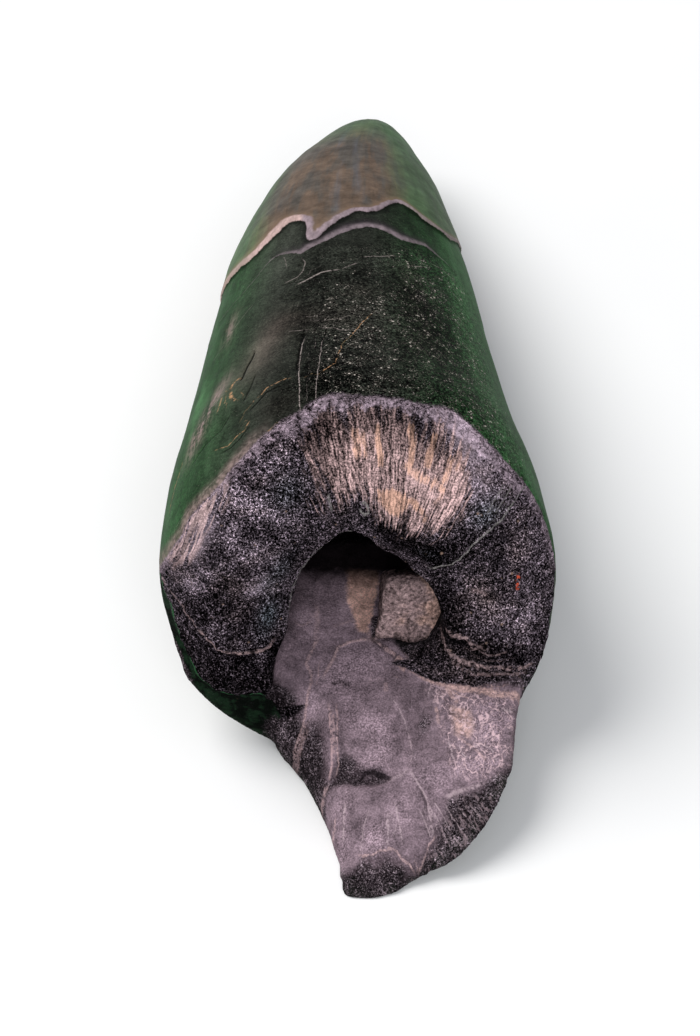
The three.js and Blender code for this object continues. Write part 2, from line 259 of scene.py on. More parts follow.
FIBRES = [(-2.3, 20.6), (-1.3, 21.0), (.76, 21.2), (2.53, 21.0), (3.54, 20.5), (4.82, 19.6), (5.96, 18.85), (6.25, 18.3), (5.75, 17.2),
          (4.9, 16.3), (3.2, 16.2), (1.9, 16.8), (1.3, 18.2), (.9, 18.7), (-.25, 18.35), (-.9, 18.1), (-1.7, 18.6), (-2.1, 19.6)]
RIM_IN = [(-10.7, 12.6), (-10.1, 14.2), (-9.45, 15.5), (-8.6, 17.2), (-7.4, 18.9), (-6.15, 19.57), (-5.4, 20.0), (-4.4, 20.45), (-3.41, 20.66),
          (-2.16, 20.81), (-1.4, 20.93), (-.27, 21.25), (0, 21.38), (1.26, 21.24), (2.53, 21.12), (3.8, 20.79), (4.82, 20.27), (5.46, 19.62),
          (6.6, 18.9), (7.5, 18.6), (8.26, 18.1), (8.91, 17.4), (9.9, 16.2), (10.7, 14.6), (11.3, 12.4)]


def rim_radius():
    """Distance from the ring's centre to the outside of the tooth at its broken edge, by angle."""
    th = np.arange(-180.0, 181.0, 3.0)
    y = edge_y(th)
    a = np.sqrt(half_sq(y))
    b = FLAT * a
    ox, oz = X0 - centre_x(y), Z0 - under_z(y) - b
    c, s = np.cos(np.radians(th)), np.sin(np.radians(th))
    p, q, w = (c / a) ** 2 + (s / b) ** 2, ox * c / a ** 2 + oz * s / b ** 2, (ox / a) ** 2 + (oz / b) ** 2 - 1
    return th, (-q + np.sqrt(q * q - p * w)) / p


RIM_ANGLE, RIM_R = rim_radius()


SKIN = [(-11.2, 14.4), (-10.85, 13.4), (-10.6, 12.0), (-10.3, 10.6), (-10.0, 9.3), (-9.5, 7.75), (-8.7, 6.1), (-7.3, 5.35), (-6.0, 5.35), (-5.1, 5.4),
        (-4.3, 4.8), (-4.0, 3.6), (-3.8, -2), (-14, -2), (-14, 14.4)]


def ring_front(x, z):
    dx, dz = x - X0, z - Z0
    th = np.degrees(np.arctan2(dz, dx))
    r = np.hypot(dx, dz) / np.interp(th, RIM_ANGLE, RIM_R)
    yo, yc, rc, yi = edge_y(th), crest_y(th), crest_r(th), lip_y(th)
    t = np.clip((r - rc) / (1 - rc), 0, None)
    s = np.clip((rc - r) / (rc - .30), 0, None)
    y = np.where(r > rc, yc + (yo - yc) * t ** 1.7, yc + (yi - yc) * s ** 1.6)
    # the right-hand crack: the upper lobe stands proud of the wall below it
    d, w = to_line(x, z, CRACK_R)
    ends = step(w, 0, .1) * step(1 - w, 0, .12)
    y = y - ends * np.where(d > 0, .52 * np.exp(-np.abs(d) / 1.7), -.36 * np.exp(-np.abs(d) / 1.1))
    # the left-hand crack, with a ledge along it
    d, w = to_line(x, z, CRACK_L)
    ends = step(w, 0, .12) * step(1 - w, 0, .1)
    y = y - ends * np.where(d > 0, .42 * np.exp(-np.abs(d) / 1.4), -.34 * np.exp(-np.abs(d) / 1.1))
    # layered steps at the foot of the right arm
    for line, h in ((STEP_1, .40), (STEP_2, .52), (STEP_3, .34)):
        d, w = to_line(x, z, line)
        ends = step(w, 0, .15) * step(1 - w, 0, .15)
        y = y - ends * h * np.where(d > 0, np.exp(-np.abs(d) / .9), -np.exp(-np.abs(d) / .7))
    # smooth ground low on the left falls back a little
    y = y + .30 * step(outline(x, z, SKIN), -.25, .35) + .10 * np.clip(outline(x, z, SKIN), 0, 3)
    # the fibre patch is slightly hollow, the band round the rim slightly raised
    y = y + .16 * step(outline(x, z, FIBRES), -.3, .9)
    return y


RIDGE = [(-1.13, -2.4), (-1.05, -3.31), (-.96, -4.48), (-.93, -5.5), (-.89, -6.41), (-1.05, -7.3), (-1.3, -7.9)]
GREY_LEFT = [(-4.5, .4), (-4.7, -1), (-4.4, -2.0), (-3.3, -2.7), (-2.7, -3.7), (-2.2, -4.1), (-1.9, -4.0), (-1.6, -4.3),
             (-1.44, -4.9), (-1.42, -5.8), (-1.33, -6.9), (-1.2, -7.9), (-1.5, -8.6), (-2.0, -8.9)]
HOLLOW = [(-.75, -6.2), (.15, -6.4), (.9, -7.0), (1.9, -7.3), (2.1, -7.9), (1.1, -8.15), (.3, -7.95), (-.3, -7.6), (-1.1, -7.5)]
DARK_END = [(-1.4, -12.1), (-.69, -12.2), (.25, -12.02), (.78, -11.7), (1.3, -11.96), (2.13, -11.6), (2.55, -11.95), (3.28, -12.5), (3.8, -12.3),
            (4.22, -11.6), (4.85, -11.04), (5.28, -10.11), (5.5, -9.09), (6.4, -8.75), (7.51, -8.46), (8.4, -7.9), (9.3, -7.2)]
FOOT = [(1.5, .7), (1.99, .1), (2.63, -.55), (3.27, -1.1), (3.7, -1.17), (4.55, -1.72), (5.61, -2.22), (6.35, -2.57), (7.2, -2.69), (8.15, -3.06), (9.41, -3.4), (10.4, -3.5)]
FAINT = [(2.19, -2.71), (2.72, -3.41), (3.13, -4.33), (3.44, -5.57), (3.56, -6.38), (3.32, -7.26), (3.83, -8.19), (4.35, -9.13), (4.5, -10.02), (4.7, -11.04)]


def tongue_top(x, y):
    z = floor_z(y) + .012 * (x - .6) ** 2 * np.clip((y + 13) / 6, 0, 1)
    # the floor of the cavity turns up into its left wall
    z = z + .10 * np.clip(-1.6 - x, 0, 4) ** 2 * step(y, -2.2, 1.0)
    out = np.clip((-.5 - y) / 1.5, 0, 1)
    # the pale ridge, with ground falling away on its left
    d, w = to_line(x, y, RIDGE)
    ends = step(w, 0, .2) * step(1 - w, 0, .12)
    z = z + .17 * np.exp(-(d / .26) ** 2) * ends - .30 * step(-d, .1, 1.3) * ends
    # the hollow, and the low boss in front of it
    z = z - .62 * step(outline(x, y, HOLLOW), -.42, .55)
    z = z + .16 * np.exp(-(((x - 1.5) / .55) ** 2 + ((y + 7.1) / .25) ** 2))
    z = z + .40 * np.exp(-(((x + .05) / 1.15) ** 2 + ((y + 9.4) / 1.15) ** 2))
    z = z + .16 * np.exp(-(((x - 2.4) / .8) ** 2 + ((y + 10.4) / 1.4) ** 2))
    # soft valley right of the middle and the low fold beside it
    z = z - .30 * np.exp(-(((x - 3.9 - .28 * (y + 4.4)) / .75) ** 2 + ((y + 4.0) / 2.0) ** 2))
    d, w = to_line(x, y, FAINT)
    z = z + .11 * step(d, -.12, .12) * np.exp(-np.abs(d) / .9) * step(w, 0, .1) * step(1 - w, 0, .1)
    # rougher, lower ground round the front
    d, w = to_line(x, y, DARK_END)
    z = z - np.interp(x, [3, 6.5], [.34, .14]) * step(-d, -.15, .45) * out
    # the rough ground on the left lies lower
    z = z - .22 * step(-outline(x, y, [(-4.5, 2.5)] + GREY_LEFT + [(-1.4, -13.0), (1.0, -15.5), (12, -15.5), (12, 8), (-4.4, 8)]), -.1, .9)
    # ground lifts into the foot of the right arm
    d, w = to_line(x, y, FOOT)
    z = z + .30 * step(d, -.12, .22) * np.exp(-np.abs(d) / 1.8) * step(w, 0, .1)
    return z


def f_outer(x, y, z):
    a2 = half_sq(y)
    a = np.sqrt(np.maximum(a2, 1e-4))
    b = FLAT * a
    rr = np.sqrt(((x - centre_x(y)) / a) ** 2 + ((z - under_z(y) - b) / b) ** 2)
    f = (rr - 1) * a
    return np.where(a2 <= 1e-4, np.maximum(f, y - TIP_Y), f)


def f_hole(x, y, z):
    dx, dz = x - hole_x(y), z - hole_z(y)
    th = np.degrees(np.arctan2(dz, dx))
    s = hole_s(y)
    f = np.hypot(dx, dz) - hole_r(th) * np.maximum(s, 0)
    return np.where(s <= 0, np.maximum(f, .3 * (y - 28)), f)


def even(f, axes):
    """f scaled to a first-order distance."""
    gx, gy, gz = np.gradient(f, *axes)
    return f / np.clip(np.sqrt(gx * gx + gy * gy + gz * gz), .35, 4)


def fields(gx, gy, gz):
    x, y, z = gx[:, None, None], gy[None, :, None], gz[None, None, :]
    axes = (gx, gy, gz)
    full = np.zeros((len(gx), len(gy), len(gz)), np.float64)
    do = even(f_outer(x, y, z) + full, axes)
    front = ring_front(gx[:, None], gz[None, :])[:, None, :]
    dr = even(front - y + full, axes)
    top = tongue_top(gx[:, None], gy[None, :])[:, :, None]
    dl = x - left_x(y)
    zt = top - np.clip((-1.5 - y) / 2, 0, 1) * np.interp(y, [-13.4, -11.2], [.35, 1.9]) * np.clip(1 - dl / 2.6, 0, 1.6) ** 1.5
    de = y - front_y(x)
    zt = zt - np.interp(x, [2, 5], [.55, .16]) * np.clip(1 - de / 1.1, 0, 1.5) ** 1.4
    dt = smax(even(z - zt + full, axes), even(-dl + full, axes) * .9, .45)
    dt = smax(dt, even(-de + full, axes) * .9, .25)
    dc = smax(even(f_hole(x, y, z) + full, axes), even(top - z + full, axes), .6)
    ring = smax(dr, -dc, .3)
    # the black ledge of the wall under the sediment
    shelf = (np.sqrt(((x - 4.7) / 2.9) ** 2 + ((y + .45 + .42 * (x - 4.5)) / 1.2) ** 2 + ((z - 5.2) / 1.35) ** 2) - 1) * 1.2
    ring = smin(ring, shelf + full, .4)
    brk = smin(ring, dt, .35)
    w = np.clip((-2.6 - y) / 1.5, 0, 1)
    d = smax(do, brk, .7 - .42 * w)
    d = smax(d, -z + full, .12)
    return d, {"ob": do - brk, "rt": ring - dt, "rc": dr + dc, "dc": dc}


def surface_nets(f, gx, gy, gz):
    nx, ny, nz = f.shape
    ins = f < 0
    c = np.zeros((nx - 1, ny - 1, nz - 1), np.uint8)
    for i in (0, 1):
        for j in (0, 1):
            for k in (0, 1):
                c += ins[i:nx - 1 + i, j:ny - 1 + j, k:nz - 1 + k]
    act = (c > 0) & (c < 8)
    idx = -np.ones(act.shape, np.int64)
    ii, jj, kk = np.nonzero(act)
    idx[ii, jj, kk] = np.arange(len(ii))
    p = np.zeros((len(ii), 3))
    w = np.zeros(len(ii))
    corners = [(i, j, k) for i in (0, 1) for j in (0, 1) for k in (0, 1)]
    vals = {a: f[ii + a[0], jj + a[1], kk + a[2]] for a in corners}
    pos = {a: np.stack([gx[ii + a[0]], gy[jj + a[1]], gz[kk + a[2]]], 1) for a in corners}
    for a in corners:
        for ax in range(3):
            if a[ax] == 0:
                b = list(a)
                b[ax] = 1
                b = tuple(b)
                fa, fb = vals[a], vals[b]
                m = (fa < 0) != (fb < 0)
                t = np.where(m, fa / np.where(m, fa - fb, 1), 0)
                p += (pos[a] + (pos[b] - pos[a]) * t[:, None]) * m[:, None]
                w += m
    v = p / w[:, None]
    quads = []
    for ax in range(3):
        lo = [slice(None)] * 3
        hi = [slice(None)] * 3
        lo[ax] = slice(0, -1)
        hi[ax] = slice(1, None)
        ia, ib = ins[tuple(lo)], ins[tuple(hi)]
        u, s = [a for a in range(3) if a != ax]
        win = [slice(None)] * 3
        win[u] = win[s] = slice(1, -1)
        m = np.zeros(ia.shape, bool)
        m[tuple(win)] = (ia != ib)[tuple(win)]
        e = np.array(np.nonzero(m)).T
        fl = ia[m]

        def cell(du, ds):
            q = e.copy()
            q[:, u] -= du
            q[:, s] -= ds
            return idx[q[:, 0], q[:, 1], q[:, 2]]
        q = np.stack([cell(1, 1), cell(0, 1), cell(0, 0), cell(1, 0)], 1)
        keep = fl if ax != 1 else ~fl
        q[~keep] = q[~keep][:, ::-1]
        quads.append(q)
    return v, np.vstack(quads)


def sample(f, axes, p):
    """Trilinear values of the grid f at the rows of p."""
    i0, t = [], []
    for a, g in enumerate(axes):
        i = np.clip(np.searchsorted(g, p[:, a], side="right") - 1, 0, len(g) - 2)
        i0.append(i)
        t.append(np.clip((p[:, a] - g[i]) / (g[i + 1] - g[i]), 0, 1))
    out = 0
    for a in (0, 1):
        for b in (0, 1):
            for c in (0, 1):
                w = ((t[0] if a else 1 - t[0]) * (t[1] if b else 1 - t[1]) * (t[2] if c else 1 - t[2]))
                out = out + w * f[i0[0] + a, i0[1] + b, i0[2] + c]
    return out


def edges_of(q):
    e = np.vstack([q[:, [0, 1]], q[:, [1, 2]], q[:, [2, 3]], q[:, [3, 0]]])
    e.sort(axis=1)
    return np.unique(e, axis=0)


def relax(v, e, rounds, k):
    n = len(v)
    deg = np.bincount(e.ravel(), minlength=n).clip(1)[:, None]
    for _ in range(rounds):
        s = np.stack([np.bincount(e[:, 0], v[e[:, 1], a], n) + np.bincount(e[:, 1], v[e[:, 0], a], n)
                      for a in range(3)], 1)
        v = v + k * (s / deg - v)
    return v


def normals_of(v, q):
    fn = np.cross(v[q[:, 2]] - v[q[:, 0]], v[q[:, 3]] - v[q[:, 1]])
    n = np.zeros_like(v)
    for k in range(4):
        for a in range(3):
            n[:, a] += np.bincount(q[:, k], fn[:, a], len(v))
    return n / np.maximum(np.linalg.norm(n, axis=1), 1e-12)[:, None]


def settle(v, q, f, axes, rounds=2):
    """Evens the mesh out and pulls it back onto f = 0."""
    e = edges_of(q)
    for _ in range(rounds):
        v = relax(v, e, 1, .5)
        for _ in range(2):
            n = normals_of(v, q)
            h = .04
            here = sample(f, axes, v)
            slope = (sample(f, axes, v + n * h) - sample(f, axes, v - n * h)) / (2 * h)
            move = np.clip(-here / np.clip(slope, .4, 3), -.15, .15)
            v = v + n * move[:, None]
    return v


def make_mesh(name, v, q, attrs):
    me = bpy.data.meshes.new(name)
    me.vertices.add(len(v))
    me.vertices.foreach_set("co", v.astype(np.float32).ravel())
    me.loops.add(q.size)
    me.loops.foreach_set("vertex_index", q.astype(np.int32).ravel())
    me.polygons.add(len(q))
    me.polygons.foreach_set("loop_start", np.arange(0, q.size, q.shape[1], dtype=np.int32))
    me.update(calc_edges=True)
    for key, val in attrs.items():
        kind = "FLOAT_COLOR" if val.shape[1] == 4 else "FLOAT_VECTOR"
        a = me.attributes.new(key, kind, "POINT")
        a.data.foreach_set("color" if val.shape[1] == 4 else "vector", val.astype(np.float32).ravel())
    me.validate()
    return me


# --------------------------------------------------------------------------
# what is drawn on the surface
# --------------------------------------------------------------------------
# outside of the tooth: degrees round the section (0 on top, positive to +X) and station
ENAMEL = [(-180, 31.5), (-150, 32.2), (-120, 30.5), (-95, 28.2), (-75, 26.6), (-66, 26.0), (-58.3, 25.7), (-50.5, 25.4),
    (-43.5, 25.5), (-38.6, 25.9), (-34.2, 26.5), (-31.3, 27.0), (-28.3, 27.5), (-26.2, 27.6), (-23.6, 27.4), (-21.1, 27.25),
    (-19.3, 26.9), (-18.3, 26.2), (-17.9, 25.6), (-18.0, 24.9), (-17.6, 24.4), (-16.4, 24.1), (-14.5, 24.0), (-12.8, 24.2),
    (-11.1, 24.9), (-7.7, 25.7), (-4.6, 26.3), (-1.3, 26.9), (2.7, 27.6), (5.5, 27.75), (8.6, 27.7), (12.9, 28.1), (17.6, 29.1),
    (20.4, 29.6), (23.6, 30.15), (26.2, 30.15), (29.3, 29.9), (32.8, 29.5), (37.1, 29.2), (43.9, 29.1), (48.4, 29.1), (55.2, 29.5),
    (62, 30.4), (72.7, 32.0), (90, 33.6), (115, 34.2), (145, 33.2), (180, 31.5)]
SECOND = [(-118, 23.0), (-95, 22.0), (-75, 21.0), (-58, 20.9), (-47, 21.3), (-39.6, 22.4), (-37.0, 23.1), (-33.8, 23.5), (-30.9, 23.6),
    (-27.5, 23.5), (-23.8, 23.2), (-19.8, 22.8), (-17.6, 23.1), (-15.1, 23.4), (-12.3, 23.7), (-9.0, 24.0), (-6.1, 24.5),
    (-2.8, 24.9), (.2, 25.3), (3.5, 25.5), (8.4, 25.8), (13.3, 25.8), (16.2, 25.5), (19.7, 25.2), (22.8, 25.0), (26.6, 25.1),
    (30.0, 25.2), (34.2, 25.5), (37.8, 25.3), (42.0, 25.1), (46.0, 24.9), (50.8, 24.7), (54.5, 24.3), (58, 23.6), (75, 23.2), (95, 23.9)]
# each line: points, half-width in mm, strength
OUTSIDE_PALE = [
    ([(-28.0, 23.4), (-26.6, 22.4), (-25.2, 21.4)], .03, .4),
    ([(-26.1, 19.6), (-23.2, 19.7), (-20.0, 19.9), (-18.1, 20.4), (-17.6, 21.5), (-19.6, 22.2)], .035, .6),
    ([(-20.5, 18.9), (-16.9, 19.1), (-13.5, 19.5), (-10.4, 19.8), (-7.3, 19.9), (-3.4, 19.9)], .06, .95),
    ([(-2.3, 20.1), (.4, 20.4), (3.2, 20.8)], .04, .65),
    ([(5.5, 21.6), (10.1, 21.9), (13.9, 22.1), (17.7, 22.4), (20, 22.4)], .05, .6),
    ([(23.4, 21.7), (27.0, 21.8), (30.9, 22.2), (34.5, 22.6)], .05, .6),
    ([(36.7, 23.4), (41.5, 23.5), (45.9, 23.3), (50.7, 23.1)], .035, .5),
    ([(-22.4, 13.2), (-17.4, 12.9), (-14.1, 12.75)], .022, .6),
    ([(-10.5, 12.75), (-7.0, 12.6), (-4.0, 12.5)], .03, .75),
    ([(-5.5, 12.45), (-2.0, 12.3), (1.5, 12.5)], .025, .65),
    ([(-13.5, 13.8), (-9, 13.6), (-3, 13.8), (0, 14.2)], .022, .6),
    ([(-17, 14.6), (-13, 14.3), (-10, 14.5)], .018, .5),
    ([(-3.5, 12.0), (.5, 11.9), (3.5, 12.1)], .018, .45),
    ([(-15.4, 12.2), (-16.4, 11.3), (-16.8, 10.1), (-17.1, 8.5), (-17.0, 7.0), (-16.7, 5.5), (-16.5, 3.2)], .035, .95),
    ([(-9.0, 11.8), (-9.8, 10.9), (-10.1, 9.6), (-10.8, 7.8), (-11.5, 6.2), (-11.9, 3.8)], .028, .85),
    ([(-60, 15.5), (-52, 16.4), (-45, 17.8), (-39, 18.9)], .03, .35),
    ([(44, 15.2), (49, 12.5), (53, 9.5)], .03, .3),
    ([(-46.3, 8.9), (-50.1, 8.0), (-53.4, 7.2), (-55.0, 6.2)], .035, .75),
    ([(-31.5, 1.6), (-37.4, .9), (-44.7, .4), (-54.1, -.1), (-60.4, -.2), (-65.3, -.6)], .03, .4),
]
OUTSIDE_TAN = [
    ([(8.4, 14.9), (6.8, 14.2), (3.5, 13.1), (.2, 11.8), (-3.0, 10.7), (-4.4, 9.4), (-5.6, 8.1), (-9.0, 7.4), (-11.0, 6.9), (-13.0, 7.2), (-15.8, 6.7)], .036, .9),
    ([(-19.5, 7.1), (-20.9, 7.3), (-23.8, 7.1), (-27.1, 7.0), (-29.4, 6.4), (-31.5, 6.2), (-33.1, 5.7), (-34.8, 5.4), (-36.5, 4.4)], .042, .8),
    ([(-38.2, 9.6), (-39.8, 9.8), (-42.0, 9.5), (-42.2, 8.6), (-40.6, 7.6), (-38.6, 7.1)], .13, 1.0),
    ([(-38.6, 7.1), (-36.6, 6.9), (-36.0, 7.3), (-37.3, 7.9)], .05, .8),
    ([(-32.5, 4.2), (-34.7, 3.4), (-37.4, 3.2), (-40.0, 2.8), (-42.5, 3.0), (-46.2, 3.3)], .038, .8),
    ([(-45.2, 8.8), (-45.9, 7.8), (-46.8, 7.0)], .06, .6),
    ([(-64, 5.8), (-68, 4.0), (-71, 2.2)], .10, .5),
    ([(102, 20), (96, 17), (99, 13.5), (94, 11)], .05, .5),
    ([(-20, 3.4), (-24, 2.9), (-27, 2.4)], .05, .5),
]
OUTSIDE_DARK = [
    ([(-15.1, 12.7), (-16.4, 11.9), (-16.9, 10.4), (-17.5, 8.9), (-17.5, 7.6)], .10, 1.0),
    ([(-34.6, 12.6), (-35.4, 11.7), (-36.8, 10.9), (-37.7, 9.9), (-38.4, 9.2)], .08, 1.0),
    ([(-32.2, 9.2), (-34.0, 7.6), (-36.2, 6.4)], .06, .7),
    ([(-8.4, 12.3), (-9.2, 11.3), (-9.6, 10.2)], .04, .7),
    ([(7.2, 13.9), (4.0, 12.8), (.8, 11.5), (-2.4, 10.4), (-3.9, 9.2), (-5.0, 7.9), (-8.4, 7.0)], .04, .75),
    ([(-20.5, 6.7), (-24, 6.6), (-27.5, 6.5), (-30.0, 5.9), (-33.5, 5.2)], .05, .8),
    ([(-32.8, 3.7), (-35.5, 2.9), (-38.8, 2.5), (-42.5, 2.5)], .05, .7),
    ([(-27.5, 19.5), (-23, 19.4), (-19.5, 19.6)], .05, .6),
    ([(-28, 18.2), (-24, 17.4), (-19, 17.0), (-14, 17.2)], .04, .5),
    ([(-40, 6.0), (-44, 4.9), (-50, 4.6), (-56, 3.8)], .05, .5),
    ([(150, 26), (146, 20), (151, 13), (147, 6), (150, 1)], .09, .9),
    ([(-128, 19), (-131, 14), (-127, 8.5), (-130, 3)], .07, .8),
]
# broken ring: x and z
RING_PALE = [
    (shifted(CRACK_R, .15)[:-1], .045, .95),
    ([(7.5, 16.6), (7.9, 17.0), (8.5, 17.6)], .04, .5),
    ([(7.9, 16.5), (8.4, 16.9), (9.0, 17.4)], .04, .5),
    ([(8.14, 15.89), (8.91, 16.07), (9.43, 16.56), (9.9, 16.9)], .045, .7),
    ([(-3.77, 9.59), (-3.5, 10.16), (-3.36, 11.52), (-2.96, 12.84), (-2.31, 14.13), (-1.29, 15.16), (-.02, 15.89), (1.15, 14.2)], .05, .55),
    ([(1.12, 14.3), (1.84, 13.4), (2.65, 12.78), (3.28, 12.28), (3.91, 12.0), (4.4, 11.5), (4.75, 10.6)], .09, .75),
    ([(-7.2, 18.9), (-7.9, 18.2), (-8.5, 17.2), (-9.0, 16.3), (-9.3, 15.2)], .10, .9),
    ([(-7.6, 18.2), (-8.2, 17.2), (-8.5, 16.2)], .06, .7),
    ([(-1.2, 18.3), (-1.0, 17.5)], .07, .6),
    ([(.58, 17.73), (.78, 17.86), (.98, 17.6), (1.03, 17.25), (.82, 17.1), (.62, 17.25), (.56, 17.6)], .06, .8),
]
RING_TAN = [
    (shifted(CRACK_L, .16)[2:], .085, .9),
    (shifted(CRACK_L, .16)[:3], .05, .7),
    (shifted(STEP_1, .16), .13, .85),
    ([(5.11, 9.12), (5.21, 8.39), (5.42, 7.52)], .06, .6),
    (shifted(STEP_2, .16), .11, .85),
    (shifted(STEP_3, .15), .08, .6),
    ([(7.3, 8.2), (8.1, 7.9), (8.9, 8.1)], .05, .5),
    ([(6.6, 11.9), (7.2, 11.95), (7.7, 11.7)], .16, .5),
    ([(-9.2, 16.2), (-9.5, 15.0), (-9.85, 13.8)], .12, .6),
    ([(-10.5, 12.6), (-10.3, 12.0), (-9.94, 11.5), (-9.4, 11.1)], .06, .7),
]
RING_DARK = [
    ([(4.3, 12.9), (5.2, 13.6), (5.8, 13.8), (6.6, 14.7), (7.3, 15.35), (8.2, 15.7)], .10, .9),
    ([(-9.3, 10.7), (-8.5, 9.85), (-8.05, 9.25), (-7.4, 8.6), (-6.38, 8.42), (-5.16, 8.5), (-4.43, 8.65)], .08, .7),
    ([(5.3, 8.7), (6.2, 8.5), (7.3, 7.8), (8.6, 7.6)], .16, .7),
]
# tongue and cavity floor: x and y
TONGUE_PALE = [
    ([(-1.24, -3.2), (-1.13, -4.4), (-1.07, -5.42), (-1.01, -6.43), (-1.25, -7.5)], .06, .75),
    ([(-1.0, -3.8), (-.9, -5.0), (-.88, -6.2)], .10, .55),
    (FAINT[:6], .04, .55),
    (FAINT[5:], .06, .6),
    ([(2.1, -7.95), (2.79, -7.7), (3.3, -7.4)], .10, .6),
    ([(-.27, -8.8), (-.32, -9.67), (-.39, -10.6)], .07, .7),
    ([(2.14, -9.8), (2.12, -10.85), (2.06, -11.5)], .08, .7),
    ([(2.5, -9.1), (2.77, -10.47), (2.97, -11.5)], .06, .6),
    ([(1.09, -9.56), (.78, -10.32), (.57, -11.4)], .05, .5),
    ([(5.3, -9.1), (5.93, -8.75), (6.77, -8.6), (7.62, -8.3)], .14, .65),
    ([(4.2, -9.0), (4.75, -9.9), (5.2, -10.7), (5.6, -11.3)], .035, .6),
    ([(4.7, -9.2), (5.2, -10.0), (5.8, -10.9), (6.3, -11.5)], .04, .7),
    ([(5.3, -9.4), (5.9, -10.2), (6.6, -11.1)], .04, .7),
    ([(6.0, -9.4), (6.6, -10.1), (7.2, -10.8)], .035, .6),
    ([(6.6, -9.2), (7.2, -9.9), (7.7, -10.4)], .035, .55),
    ([(3.9, -9.6), (4.3, -10.5), (4.6, -11.3)], .04, .55),
    ([(5.55, -5.7), (5.75, -6.3), (5.86, -6.9)], .06, .8),
    ([(6.2, -6.0), (6.35, -6.6), (6.7, -7.0)], .05, .7),
    ([(6.9, -6.3), (7.4, -6.1), (8.0, -6.5), (8.3, -7.3)], .05, .7),
    ([(4.9, -2.6), (5.3, -3.0), (5.2, -3.5)], .05, .6),
    ([(4.6, -2.2), (4.45, -2.9)], .05, .6),
    ([(8.2, -3.6), (8.9, -4.3), (9.3, -4.4)], .07, .6),
]
TONGUE_TAN = [
    ([(-1.75, 1.2), (-2.01, .44), (-2.32, -.35), (-2.54, -.85), (-2.26, -1.42), (-2.26, -2.24), (-2.47, -3.05), (-2.62, -3.85), (-3.04, -4.43), (-3.45, -5.0)], .085, .75),
    ([(1.2, .8), (.7, .84), (.05, .72), (-.71, .29), (-.92, -.41), (-1.35, -1.27), (-1.58, -1.85)], .10, .9),
    ([(-.78, -3.2), (-.72, -4.53), (-.72, -5.68), (-.67, -6.47), (-.85, -7.1)], .06, .85),
    (shifted(FOOT, -.10)[3:], .18, .95),
    (shifted(FOOT, -.10)[2:5], .17, .85),
    (FOOT[:3], .07, .7),
    ([(6.2, -2.1), (7.4, -2.35), (8.6, -2.6)], .09, .6),
    ([(.33, -11.5), (1.17, -11.8), (1.7, -11.65), (2.22, -11.6), (2.6, -11.75), (2.95, -12.15), (3.3, -12.3), (3.7, -12.65)], .055, .9),
    ([(4.86, -10.96), (4.42, -11.41), (4.16, -11.95), (3.8, -12.6)], .055, .8),
    ([(-2.45, -4.1), (-2.9, -4.7), (-3.4, -5.3)], .2, .5),
    ([(-1.3, -7.3), (-1.6, -8.0), (-2.0, -8.7)], .14, .7),
    ([(-.85, -9.2), (-.9, -9.8), (-1.15, -10.4)], .07, .8),
    ([(4.93, -3.5), (5.0, -4.1), (5.06, -4.7)], .09, .85),
    ([(5.88, -5.22), (6.5, -5.9), (7.02, -6.35), (7.4, -6.8), (7.74, -7.25)], .07, .8),
    ([(5.5, -2.3), (5.8, -3.0), (6.2, -3.5)], .13, .7),
    ([(2.0, -1.9), (2.1, -2.5)], .14, .5),
    ([(-3.25, 1.73), (-2.76, 1.6), (-2.2, 2.13)], .07, .4),
    ([(-1.0, 1.75), (0, 2.2), (.6, 2.2)], .09, .4),
    ([(-1.98, 3.4), (-1.9, 2.1), (-1.98, .65)], .16, .35),
]
TONGUE_DARK = [
    ([(1.5, 1.6), (1.3, 1.0), (1.75, .35), (2.4, -.35), (3.1, -1.2)], .12, .7),
    ([(-1.06, -2.1), (-.49, -1.86), (.1, -2.06)], .09, .6),
    ([(-.6, -5.2), (-.35, -6.0), (-.3, -6.7)], .12, .45),
    ([(.5, -7.5), (.9, -7.22), (1.4, -7.3), (1.9, -7.5), (2.3, -7.86)], .09, .95),
    ([(3.9, -8.5), (4.2, -9.1), (4.3, -9.7)], .06, .6),
]


def line_values(u, v, lines, reach=.5):
    """For each place: signed distance to the nearest line, its strength there and its half-width."""
    near = np.full(len(u), 1e9)
    out = np.zeros((len(u), 3))
    out[:, 0] = 1
    out[:, 2] = .05
    for pts, half, strength in lines:
        d, t = to_line(u, v, pts)
        m = np.abs(d) < near
        near = np.where(m, np.abs(d), near)
        w = strength * step(t, 0, .1) * step(1 - t, 0, .1) * (1 - step(np.abs(d), reach * .6 + half, reach + half))
        out[m, 0] = d[m]
        out[m, 1] = w[m]
        out[m, 2] = half
    out[:, 0] = np.clip(out[:, 0], -1.5, 1.5)
    return out


def blob(u, v, cu, cv, ru, rv, turn=0.0):
    c, s = math.cos(math.radians(turn)), math.sin(math.radians(turn))
    a = ((u - cu) * c + (v - cv) * s) / ru
    b = (-(u - cu) * s + (v - cv) * c) / rv
    return np.exp(-(a * a + b * b))


